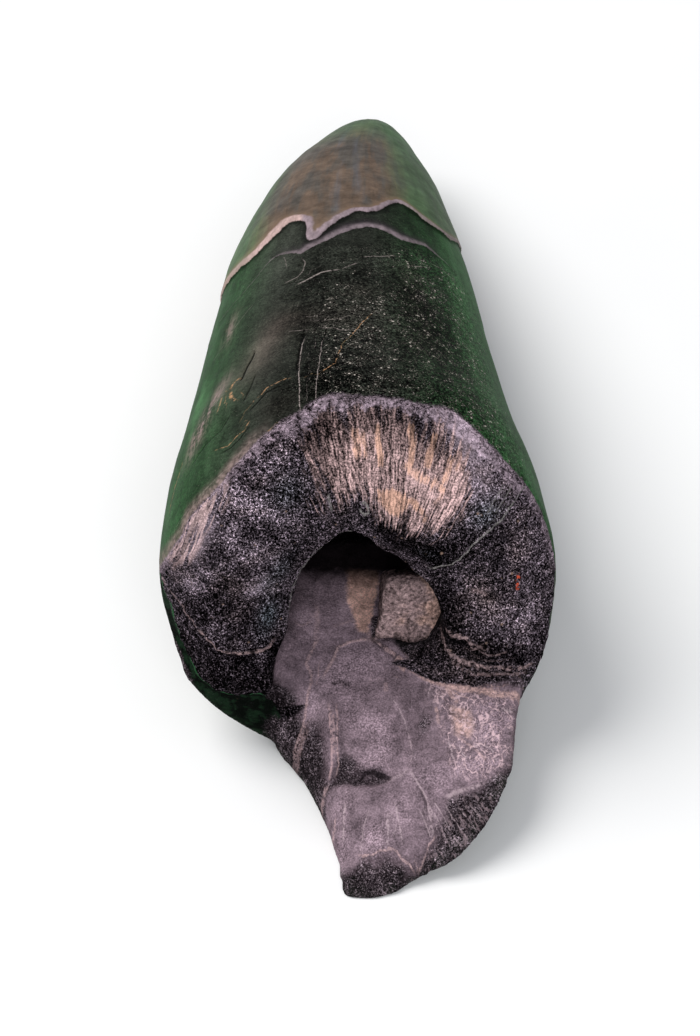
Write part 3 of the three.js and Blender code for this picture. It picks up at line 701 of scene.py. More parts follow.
def describe(p, f, zone, axes):
    """Every surface value that the shape and the materials use, at the points p."""
    x, y, z = p.T
    s = {k: sample(g, axes, p) for k, g in zone.items()}
    a = np.sqrt(np.maximum(half_sq(y), .05))
    cx, cz = centre_x(y), under_z(y) + FLAT * a
    th = np.degrees(np.arctan2(x - cx, z - cz))
    u = np.radians(th) * a
    # the floor of the cavity belongs with the tongue
    near = .45 - np.abs(z - tongue_top(x, y))
    s["rt"] = np.where(s["ob"] < -.4, np.maximum(s["rt"], np.where(s["rc"] < .5, near, -9) - step(s["rc"], -.1, .5)), s["rt"])

    def unrolled(pts):
        return [(math.radians(t) * float(np.sqrt(half_sq(yy))), yy) for t, yy in pts]
    d = {"th": th, "u": u, "a": a, **s}
    d["shell"] = step(s["ob"], -.12, .22)
    # enamel: distance past its margin, positive towards the tip
    rim = unrolled(ENAMEL)
    far = [(rim[-1][0] + 2, rim[-1][1]), (rim[-1][0] + 2, 60), (rim[0][0] - 2, 60), (rim[0][0] - 2, rim[0][1])]
    e, _ = to_line(u, y, rim)
    d["enamel"] = np.where(inside(u, y, rim + far), 1.0, -1.0) * np.abs(e)
    e, t = to_line(u, y, unrolled(SECOND))
    d["second"] = e
    d["second_w"] = step(t, .37, .50) * step(1 - t, .20, .34)
    # how wide the broken edge of the enamel shows
    lip = np.interp(th, [-180, -60, -30, -22, -18, -13, -5, 5, 18, 28, 60, 180], [.3, .62, .68, .58, .42, .48, .46, .40, .34, .28, .30, .3])
    # lines
    kinds = []
    on_shell = (s["ob"] > -.1)
    on_tongue = (~on_shell) & (s["rt"] > 0)
    on_ring = ~on_shell & ~on_tongue
    for shell_set, ring_set, tongue_set in ((OUTSIDE_PALE, RING_PALE, TONGUE_PALE), (OUTSIDE_TAN, RING_TAN, TONGUE_TAN), (OUTSIDE_DARK, RING_DARK, TONGUE_DARK)):
        v = np.zeros((len(x), 3))
        v[on_shell] = line_values(u[on_shell], y[on_shell], [(unrolled(q), h, w) for q, h, w in shell_set])
        v[on_ring] = line_values(x[on_ring], z[on_ring], ring_set)
        v[on_tongue] = line_values(x[on_tongue], y[on_tongue], tongue_set)
        v[on_ring, 1] *= (s["rc"] > -.5)[on_ring]
        v[on_shell & (y > 27), 1] *= 0
        kinds.append(v)
    d["pale_line"], d["tan_line"], d["dark_line"] = kinds
    # ring: patches seen from the front
    fib = outline(x, z, FIBRES)
    rim_in, _ = to_line(x, z, RIM_IN)
    pale = (.40 * blob(x, z, -3.6, 19.8, 1.1, .5) + .3 * blob(x, z, 6.2, 19.7, .8, .5, -40) + .82 * blob(x, z, -5.0, 18.05, 1.9, .50, -24) + .45 * blob(x, z, -6.0, 18.5, .9, .5, -40) + .75 * blob(x, z, -6.45, 16.7, .45, .6)
            + .55 * blob(x, z, -5.3, 15.6, 1.3, .9, -30) + 1.15 * blob(x, z, -8.8, 13.1, .55, .7, 20) + .6 * blob(x, z, -7.87, 14.3, .5, .5)
            + 1.15 * blob(x, z, -5.18, 13.15, .85, .62) + .12 * blob(x, z, -2.6, 17.0, .9, 1.6, 15) + .15 * blob(x, z, -1.4, 17.6, .8, 1.4)
            + .28 * blob(x, z, 7.4, 17.6, 1.7, .8, -38) + 1.1 * blob(x, z, 6.9, 19.0, 1.5, .9, -42) + .9 * blob(x, z, 6.0, 19.5, .9, .5, -40) + .4 * blob(x, z, 9.2, 16.2, .8, .7) + .12 * blob(x, z, 7.8, 12.6, 1.8, 1.5)
            + .48 * blob(x, z, 9.8, 13.6, .9, 2.2) + .30 * blob(x, z, 7.2, 9.63, .35, .35) + .25 * blob(x, z, 6.6, 16.6, 1.0, .9)
            + .38 * blob(x, z, 9.8, 9.4, 1.0, 1.3) + .30 * blob(x, z, 8.2, 10.6, 1.6, 1.3))
    # the step term below z 10.6 on the left is painted shade: the ring darker low down on the left
    dark = (.30 * blob(x, z, -1.6, 17.4, .9, 1.0) + .25 * blob(x, z, 3.9, 15.0, 1.2, .6, -20) + .22 * blob(x, z, 8.4, 12.6, 1.4, 1.5) + .22 * blob(x, z, -6.7, 11.2, 1.6, 1.1) + 1.0 * blob(x, z, 2.0, 15.9, 1.5, .75, -38) + 1.0 * blob(x, z, 3.9, 14.6, 1.3, .8, -20) + .7 * blob(x, z, 5.6, 15.0, 1.1, .7, 35)
            + .12 * blob(x, z, -3.4, 19.7, 1.6, .45, 5) - .25 * blob(x, z, -4.6, 19.6, 1.6, .9, 20)
            + .80 * step(z, 10.6, 6.4) * (x < 0) + .55 * blob(x, z, -8.8, 11.4, .9, 1.3) + .5 * blob(x, z, -7.4, 12.4, 1.0, 1.3)
            + .9 * blob(x, z, 5.1, 10.6, .9, 1.5) + .6 * blob(x, z, 4.7, 8.6, 1.2, .8) + .55 * blob(x, z, 6.2, 9.9, 1.2, .7)
            + .50 * blob(x, z, 7.3, 8.4, 2.4, .55, -12) + .45 * blob(x, z, 9.6, 7.7, 1.2, .5) + .35 * blob(x, z, -2.9, 15.0, .8, 1.2, -35)
            + .5 * blob(x, z, 4.2, 6.9, 2.0, .7, -15) + .3 * blob(x, z, 4.6, 12.5, .9, .7))
    warm = (.8 * blob(x, z, 7.4, 11.4, 1.4, 1.6) + .6 * blob(x, z, 6.4, 8.0, 2.2, .9) + .5 * blob(x, z, 9.4, 14.6, .9, 1.4) + .6 * blob(x, z, 7.0, 6.2, 2.6, .8)
            + .5 * blob(x, z, -6.6, 13.2, 1.2, 1.4) + .5 * blob(x, z, 3.0, 7.2, 1.2, .6))
    smooth = (.95 * blob(x, z, -7.9, 17.1, .75, 1.3, -25) + .85 * blob(x, z, -8.6, 15.7, .7, .9, -15) + .7 * blob(x, z, 7.2, 18.2, 1.3, .7, -42)
              + .7 * blob(x, z, -5.2, 13.1, .8, .6) + .5 * blob(x, z, -8.8, 13.1, .5, .6, 20) + .95 * blob(x, z, 6.1, 19.35, .95, .42, -42))
    def strand(pts, half):
        return step(-np.abs(to_line(x, z, pts)[0]), -half - .24, -half + .10)
    tan = np.maximum.reduce([
        1.0 * step(outline(x, z, [(1.5, 18.3), (2.2, 18.28), (2.83, 18.05), (3.17, 17.75), (3.11, 17.34), (2.68, 17.1), (2.18, 17.2), (1.77, 17.7)]), -.38, .22),
        .85 * strand([(.28, 20.5), (.37, 20.12), (.41, 19.67)], .12),
        .65 * strand([(.76, 20.4), (.87, 19.66)], .08),
        .85 * strand([(1.53, 20.6), (1.55, 20.07), (1.7, 19.35)], .12),
        .90 * strand([(3.35, 20.3), (3.42, 19.8), (3.37, 19.25)], .17),
        .90 * strand([(4.58, 19.64), (4.4, 19.25), (4.31, 18.91)], .17),
        .75 * strand([(5.53, 18.76), (5.41, 18.35), (5.2, 18.12)], .13),
        .60 * strand([(3.1, 19.07), (3.68, 18.66), (4.31, 18.25), (5.09, 17.81)], .16),
        .75 * strand([(3.4, 17.65), (3.81, 17.18), (4.16, 16.71)], .14),
        .55 * strand([(5.09, 17.68), (4.73, 17.31)], .10),
        .55 * blob(x, z, 6.0, 18.6, .4, .5), .45 * blob(x, z, 8.9, 17.2, .5, .6), .5 * blob(x, z, -8.9, 15.9, .35, 1.3, -12)])
    pale = pale + .9 * strand([(3.1, 18.9), (4.25, 18.06), (5.0, 17.6)], .20) * (fib > -.5)
    fib = np.maximum(fib, outline(x, z, [(1.3, 18.6), (3.1, 18.0), (4.5, 16.5), (3.2, 16.3), (2.2, 16.7), (1.5, 17.5)]))
    blue = .9 * blob(x, z, -4.6, 10.8, .6, 1.1, -10) + .5 * blob(x, z, -3.9, 14.0, .6, 1.4, -30) + .6 * blob(x, z, 7.5, 16.6, .9, .6) + .5 * blob(x, z, -3.4, 18.6, .9, .7) + .4 * blob(x, z, 4.3, 14.6, .9, .5)
    # tongue and floor: patches seen from above
    net = outline(x, y, [(4.1, -1.6), (5.61, -2.3), (9.4, -3.4), (9.3, -7.4), (7.62, -8.28), (6.04, -8.06), (5.5, -6.7), (5.3, -5.2), (5.35, -4.1), (4.6, -3.0)])
    left = -outline(x, y, [(-4.5, 2.5)] + GREY_LEFT + [(-1.4, -13.0), (1.0, -15.5), (12, -15.5), (12, 8), (-4.4, 8)])
    end = outline(x, y, DARK_END + [(13, -6), (13, -17), (-4, -17)])
    # the three blobs at x 3.3 to 4.2, y -3.2 to -6.2 are painted shade in the soft valley right of the middle
    tdark = (1.0 * step(left, -.55, .6) + 1.0 * step(end, -.50, .65) + .72 * step(outline(x, y, HOLLOW), -.34, .32)
             + .60 * blob(x, y, 4.2, -4.7, .55, .9, -15) + .45 * blob(x, y, 3.3, -3.2, .5, 1.1, -20) + .35 * blob(x, y, 3.6, -6.2, .5, .7) + .3 * blob(x, y, -.35, -6.0, .5, .9)
             + .35 * blob(x, y, -.4, -1.9, .8, .35) + .25 * blob(x, y, 2.1, -8.7, .8, .4) + .30 * blob(x, y, .1, -9.9, .5, .9) + .35 * blob(x, y, 4.1, -8.9, .5, .8, -20)
             + .35 * blob(x, y, -.9, 3.4, .8, 1.1) + .4 * blob(x, y, -2.6, 4.2, .9, 1.6) + .4 * step(-x, 2.9, 4.0) * step(y, -1.5, .5) + .30 * blob(x, y, 1.0, -.2, .8, .5)
             + .8 * step(to_line(x, y, FOOT)[0], .15, .6) * (x > 1.2) * (y < 2.5) + .35 * blob(x, y, 8.6, -4.1, .8, .4, -20) + .3 * blob(x, y, 9.4, -5.5, .4, 2.0))
    tdark = tdark - .30 * blob(x, y, 2.1, -12.2, .8, .4)
    ttan = (.95 * step(outline(x, y, [(-.28, 6.2), (1.75, 6.0), (1.74, 4.36), (1.4, 3.3), (1.26, 2.1), (.98, 1.31), (.42, 1.5), (.14, 2.6), (-.23, 3.78)]), -.30, .30)
            + .9 * step(outline(x, y, [(5.55, -3.5), (6.97, -3.77), (7.15, -5.0), (6.9, -5.9), (6.3, -5.6), (5.88, -5.44), (5.6, -4.4)]), -.25, .3)
            + .55 * blob(x, y, 1.3, 1.0, .9, .5, 20) + .5 * blob(x, y, 5.6, -2.7, .7, .5) + .30 * blob(x, y, 1.2, -1.7, 1.0, .8) + .25 * blob(x, y, .7, -3.4, .5, .6)
            + .3 * blob(x, y, -3.2, -5.2, .5, .5) + .3 * blob(x, y, 2.5, -12.4, .9, .4) + .3 * blob(x, y, 8.0, -6.6, .8, .6) + .25 * blob(x, y, 2.8, -7.0, 1.0, .6))
    tpale = (.45 * blob(x, y, -.9, -1.8, 1.1, .9) + .48 * blob(x, y, .6, -.7, 1.7, 1.2) + .65 * blob(x, y, 1.4, -11.0, .8, .7) + .45 * blob(x, y, -.5, -11.0, .5, 1.0) + .6 * blob(x, y, 8.0, -4.9, 1.1, 1.5) + .45 * blob(x, y, 7.0, -7.4, 1.3, .6)
             + .5 * blob(x, y, 1.5, -6.6, 1.1, .6, 10) + .4 * blob(x, y, .6, -4.4, 1.3, .9) + .4 * blob(x, y, 1.9, -5.0, .8, 1.4) + .4 * blob(x, y, 4.6, -7.9, 1.1, .8)
             + .25 * blob(x, y, .2, -2.9, 1.0, .6) + .25 * blob(x, y, -2.6, 1.2, .8, 1.3) + .35 * blob(x, y, -2.1, -3.3, .6, .8) + .35 * blob(x, y, 5.0, -2.3, .4, .3)
             + .4 * blob(x, y, -.4, -8.9, .5, .6) + .3 * blob(x, y, 2.9, -9.6, .7, 1.0))
    tm = d["tongue"] = step(s["rt"], -.1, .3)
    d["wall"] = step(-s["rc"], -.1, .3) * (1 - tm)
    d["mask_a"] = np.stack([np.where(tm > .5, net, fib).clip(-2, 2), pale * (1 - tm) + tpale * tm, tan * (1 - tm) + ttan * tm, dark * (1 - tm) + tdark * tm], 1).clip(-2, 2)
    d["mask_c"] = np.stack([smooth, warm, blue * (1 - tm)], 1).clip(0, 1)
    # outside of the tooth
    at = np.abs(th)
    specks = (np.exp(-((th - 2) / 17) ** 2) * step(y, 3, 5) * (1 - step(y, 15.5, 19.5)) * 1.0
              + 1.05 * np.exp(-((th - 40) / 20) ** 2) * (1 - step(y, 23, 25.5)) + .35 * np.exp(-((th - 2) / 24) ** 2) * step(y, 15, 19) * (1 - step(y, 22, 24)) + .16)
    brown = (.9 * blob(u, y, -6.0, 11.6, 1.6, 3.4, -12) + .75 * np.exp(-((th - 27) / 7) ** 2) * step(y, 3, 9) * (1 - step(y, 18, 24))
             + .55 * blob(u, y, -2.0, 17.4, 2.4, 1.6) + .25 * blob(u, y, 2.0, 8.5, 1.6, 4) + .35 * blob(u, y, -8.4, 5.2, 2.6, 1.4) + .6 * blob(u, y, -3.6, 14.5, 1.2, 2.4)
             + .5 * blob(u, y, -6.8, 22.6, 1.2, .8) + .5 * blob(u, y, -10.4, 22.0, 1.0, 1.6))
    # painted sheen: the lighter patches high on the left flank (round u -5.5 to -10.9, y 9 to 12) and the lift on the
    # left side stand in for a soft sheen; the lift on the right flank goes with the painted green reflection; the rest
    # is the surface's own tone
    level = (.128 - .018 * step(y, 5, 7) * (1 - step(y, 12, 15)) * (1 - step(at, 14, 22)) - .035 * step(at, 72, 104) + .058 * step(-th, 13, 27) + .02 * step(-th, 22, 36) + .025 * step(-th, 54, 64) + .115 * blob(u, y, -5.5, 12.0, 1.25, 2.5, -14) + .055 * blob(u, y, -8.0, 9.0, 1.5, 2.0, -20)
             + .09 * blob(u, y, -10.9, 10.8, .9, 3.0, -10) - .085 * blob(u, y, -1.4, 6.0, 1.7, 3.0) - .045 * blob(u, y, 3.1, 18.0, 1.3, 1.7) + .03 * blob(u, y, .7, 17.3, .9, .8)
             - .055 * np.exp(-((th - 30) / 7) ** 2) * step(y, 9, 12) * (1 - step(y, 17, 20)) + .105 * step(th, 34, 50) + .03 * step(y, 18, 23) * step(th, 38, 50)
             + .02 * step(th, 44, 60) - .03 * blob(u, y, -4.4, 6.2, 1.0, 2.0) + .02 * blob(u, y, 1.5, 13.0, 2.4, 2.6) + .03 * step(y, 19, 22) * (1 - step(np.abs(th), 34, 44)))
    # brown hue: real earthy staining, plus the painted sheen patch high on the left flank (round u -5.5, y 12)
    earth_and_sheen = (1.0 * blob(u, y, -5.5, 12.0, 1.6, 3.4, -14) + .6 * blob(u, y, -3.6, 14.6, 1.6, 1.6) + .55 * blob(u, y, -8.0, 9.6, 1.8, 2.0, -20) + .5 * blob(u, y, -.8, 14.0, 2.4, 1.6)
              + .6 * np.exp(-((th - 26) / 7) ** 2) * step(y, 9, 12) * (1 - step(y, 20, 23)) + .5 * blob(u, y, .7, 17.3, 1.2, 1.0) + .45 * blob(u, y, -4.4, 4.6, 1.4, 1.4))
    pink = (1.0 * blob(u, y, -9.0, 9.2, .55, 1.9, -22) + 1.0 * blob(u, y, -10.6, 6.6, .75, 1.8, -25) + .8 * np.exp(-((y - edge_y(90 - th) - .35) / .55) ** 2) * step(-th, 24, 36) * step(80 + th, 0, 20)
            + .6 * blob(u, y, -8.3, 17.5, .5, 1.6, -10))
    # painted reflection: a green cast growing towards the flanks stands in for a green surround reflected in the glossy
    # near-black surface
    green_reflection = np.where(th > 0, step(at, 6, 40), step(at, 26, 60)) * (1 - .72 * step(at, 75, 112))
    d["coat"] = np.stack([level, earth_and_sheen.clip(0, 1), np.where(s["rc"] > -.6, outline(x, z, SKIN), -2.0).clip(-2, 2)], 1)
    d["mask_b"] = np.stack([d["enamel"].clip(-4, 4), specks, brown, green_reflection], 1)
    d["zone"] = np.stack([s["ob"], s["rt"], s["rc"], rim_in], 1).clip(-3, 3)
    d["second_line"] = np.stack([d["second"].clip(-2, 2), d["second_w"], pink.clip(0, 1), lip], 1)
    d["sec"] = np.stack([(x - cx) / a * 8, y, (z - cz) / a * 8], 1)
    return d


def relief(p, d):
    """How far each point moves along the surface normal, mm."""
    x, y, z = p.T
    sh, tm, wall = d["shell"], d["tongue"], d["wall"]
    ring = (1 - sh) * (1 - tm) * (1 - wall)
    out = np.zeros(len(p))
    # the outside: slow unevenness, lengthwise ripples on the enamel, the step at its edge
    slow = fbm(p * [.22, .13, .22], 3, 1)
    out += sh * (.09 * slow + .020 * fbm(p * [.9, .5, .9], 2, 5))
    e = d["enamel"] + .10 * perlin(p * .9, 9) + .05 * perlin(p * 2.2, 10)
    cap = step(e, -.10, .10)
    out += sh * (.16 * cap - .05)
    ridges = perlin(d["sec"] * [1.0, .09, 1.0], 12) + .5 * perlin(d["sec"] * [2.1, .12, 2.1], 13)
    out += sh * cap * .028 * ridges * step(e, .3, 1.5)
    s2 = d["second"] + .06 * perlin(p * 1.1, 14)
    out += sh * (.25 + .75 * d["second_w"]) * (.085 * step(s2, -.10, .06) * np.exp(-np.abs(s2) / 2.0))
    out -= sh * .030 * np.exp(-(d["ob"] / .8) ** 2) * (1 + 2 * perlin(p * 1.6, 16))
    # root: slight scaling off along the lines
    for key, depth in (("dark_line", .09), ("tan_line", .035)):
        v = d[key]
        out -= sh * depth * v[:, 1] * np.exp(-(v[:, 0] / (v[:, 2] + .07)) ** 2)
        out -= (1 - sh) * depth * .9 * v[:, 1] * np.exp(-(v[:, 0] / (v[:, 2] + .07)) ** 2) * (1 if key == "dark_line" else -1.0)
    v = d["pale_line"]
    out += (1 - sh) * .03 * v[:, 1] * np.exp(-(v[:, 0] / (v[:, 2] + .06)) ** 2)
    out += sh * .02 * v[:, 1] * step(v[:, 0], -.1, .1) * np.exp(-np.abs(v[:, 0]) / .4)
    # the broken ring: coarse and fine roughness, ribs in the fibre patch
    fine = 1 - 3.2 * np.abs(perlin(p * 2.4, 29))
    rough = .15 * fbm(p * .62, 3, 21) + .095 * perlin(p * 1.45, 25) + .055 * fine + .050 * perlin(p * 4.1, 31)
    calm = .60 * step(d["mask_a"][:, 0], -.2, .5) + .5 * d["mask_c"][:, 0]
    calm = calm + .8 * step(d["coat"][:, 2], -.1, .2) * (1 - tm)
    out += ring * rough * (1 - np.clip(calm, 0, .85))
    ang = np.arctan2(x - 1.8, z - 12.0)
    rad = np.hypot(x - 1.8, z - 12.0)
    ribs = perlin(np.stack([ang * 15, rad * .30, 0 * rad], 1), 33) + .7 * perlin(np.stack([ang * 30, rad * .45, 0 * rad + 5], 1), 37)
    out += ring * step(d["mask_a"][:, 0], -.5, .4) * .11 * ribs
    # rim band: knobbly lip
    band = step(d["zone"][:, 3], -.15, .15) * ring * step(z, 11.5, 14)
    out += band * (.06 + .12 * perlin(p * 1.1, 41) + .05 * perlin(p * 2.6, 42))
    # cavity wall and floor
    inner = 1 - step(y, 5, 9)
    out += wall * (1 - sh) * inner * (.10 * fbm(p * .5, 3, 45) + .03 * perlin(p * 2.0, 46))
    dk = np.clip(d["mask_a"][:, 3], 0, 1) * step(-y, -1.0, 1.0)
    out += tm * (1 - sh) * inner * (.050 * fbm(p * .55, 3, 49) + (.016 + .085 * dk) * perlin(p * 1.9, 53) + (.012 + .06 * dk) * perlin(p * 3.4, 57))
    # net of fine raised veins on the right of the tongue
    netm = step(d["mask_a"][:, 0], -.3, .4) * tm * (1 - sh)
    out += netm * .05 * (1 - 3 * np.abs(perlin(p * [1.5, 1.1, 1.5], 61)))
    # nothing pushes below the ground strip, and the worn strip stays flat
    flat = step(p[:, 2], .0, .5)
    return out * flat


def build_tooth(h=.125):
    gx = np.arange(-12.4, 12.5, h)
    gz = np.arange(-3.06 * h, 22.4, h)
    gy = np.concatenate([np.arange(-14.6, 6.4, h), np.arange(6.4, 50.6, 1.9 * h)])
    axes = (gx, gy, gz)
    f, zone = fields(gx, gy, gz)
    v, q = surface_nets(f, gx, gy, gz)
    v = settle(v, q, f, axes)
    d = describe(v, f, zone, axes)
    n = normals_of(v, q)
    moved = v + n * relief(v, d)[:, None]
    attrs = {"pos": v, "zone": d["zone"], "mask_a": d["mask_a"], "mask_b": d["mask_b"],
             "pale_line": d["pale_line"], "tan_line": d["tan_line"], "dark_line": d["dark_line"], "second_line": d["second_line"],
             "mask_c": d["mask_c"], "sec": d["sec"], "coat": d["coat"]}
    me = make_mesh("tooth_mesh", to_metres(moved) * 1000, q, attrs)
    return me, d


TRIANGLES = 194000


def thin_out(ob, target, keep=None):
    """Fewer triangles, taken first where the surface is smooth."""
    me = ob.data
    me.calc_loop_triangles()
    n = len(me.loop_triangles)
    mod = ob.modifiers.new("thin", "DECIMATE")
    mod.ratio = min(1.0, target / n)
    if keep is not None:
        g = ob.vertex_groups.new(name="thin")
        lev = np.round(keep, 1)
        for val in np.unique(lev):
            g.add(np.nonzero(lev == val)[0].tolist(), float(val), "REPLACE")
        mod.vertex_group = "thin"
        mod.vertex_group_factor = .25
    dg = bpy.context.evaluated_depsgraph_get()
    new = bpy.data.meshes.new_from_object(ob.evaluated_get(dg))
    ob.modifiers.clear()
    ob.vertex_groups.clear()
    ob.data = new
    return ob


tooth_mesh, tooth_values = build_tooth()
tooth = bpy.data.objects.new("fossil_tooth_body", tooth_mesh)
bpy.context.scene.collection.objects.link(tooth)
thin_out(tooth, TRIANGLES, None)
tooth.data.transform(Matrix.Scale(.001, 4))
tooth.data.polygons.foreach_set("use_smooth", np.ones(len(tooth.data.polygons), bool))
tooth.data.name = "fossil_tooth_body"

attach(tooth, "root")
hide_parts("tooth")


# --------------------------------------------------------------------------
# the lump of hardened sediment inside the mouth of the cavity
# --------------------------------------------------------------------------
def build_sediment(h=.08):
    gx = np.arange(1.0, 6.6, h)
    gy = np.arange(-1.4, 6.2, h)
    gz = np.arange(4.6, 12.0, h)
    axes = (gx, gy, gz)
    x, y, z = gx[:, None, None], gy[None, :, None], gz[None, None, :]
    full = np.zeros((len(gx), len(gy), len(gz)))
    g = np.zeros((full.size, 3))
    g[:, 0], g[:, 1], g[:, 2] = [np.broadcast_to(a, full.shape).ravel() for a in (x, y, z)]
    wave = fbm(g * .55, 3, 71).reshape(full.shape)
    # a lump with an upright front face, a sharp left edge and a top that falls away inwards
    lean = .12 * (z - 8.2) + .06 * (x - 3.6) ** 2
    front = -.15 + lean - y + .10 * (x - 3.4)
    left = 1.72 + .05 * (z - 8) + .10 * y - .22 * np.clip(8.2 - z, 0, 2) - x
    body = smax(left + full, front + full, .16)
    body = smax(body, y - 5.4 + full, .6)
    body = smax(body, z - 10.95 + .9 * np.clip(y - .9, 0, 9) + .10 * (x - 3.2) ** 2 + full, .5)
    body = smax(body, 6.42 + .22 * np.clip(3.4 - x, 0, 3) + .12 * np.sin(x * 3.1) - z + full, .5)
    body = body + .17 * wave
    wall = even(f_hole(x, y, z) + full, axes) - .30
    bed = (tongue_top(gx[:, None], gy[None, :])[:, :, None] - z + full) - .25
    f = smax(smax(body, wall, .25), bed, .3)
    v, q = surface_nets(f, gx, gy, gz)
    v = settle(v, q, f, axes, 1)
    n = normals_of(v, q)
    r = .06 * fbm(v * 1.3, 2, 75) + .05 * perlin(v * 2.9, 79) + .035 * perlin(v * 5.1, 83)
    return make_mesh("sediment_mesh", to_metres(v + n * r[:, None]), q, {"pos": v})


sediment = bpy.data.objects.new("sediment_fill", build_sediment())
bpy.context.scene.collection.objects.link(sediment)
sediment.data.name = "sediment_fill"
sediment.data.polygons.foreach_set("use_smooth", np.ones(len(sediment.data.polygons), bool))
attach(sediment, "root")
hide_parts("sediment_lump")


# --------------------------------------------------------------------------
# node helpers
# --------------------------------------------------------------------------
class Wire:
    """A value in a material's node tree, with arithmetic."""
    def __init__(self, tree, socket):
        self.tree, self.socket = tree, socket

    def _m(self, op, other=None, swap=False):
        a, b = (other, self) if swap else (self, other)
        return math_node(self.tree, op, a, b)

    def __add__(self, o): return self._m("ADD", o)
    def __radd__(self, o): return self._m("ADD", o)
    def __sub__(self, o): return self._m("SUBTRACT", o)
    def __rsub__(self, o): return self._m("SUBTRACT", o, True)
    def __mul__(self, o): return self._m("MULTIPLY", o)
    def __rmul__(self, o): return self._m("MULTIPLY", o)
    def __truediv__(self, o): return self._m("DIVIDE", o)
    def __rtruediv__(self, o): return self._m("DIVIDE", o, True)
    def __neg__(self): return self._m("MULTIPLY", -1.0)


def put(tree, socket, value):
    if isinstance(value, Wire):
        tree.links.new(value.socket, socket)
    elif value is not None:
        socket.default_value = value


def math_node(tree, op, a, b=None, c=None):
    n = tree.nodes.new("ShaderNodeMath")
    n.operation = op
    for k, val in enumerate((a, b, c)):
        if val is not None:
            put(tree, n.inputs[k], val)
    return Wire(tree, n.outputs[0])


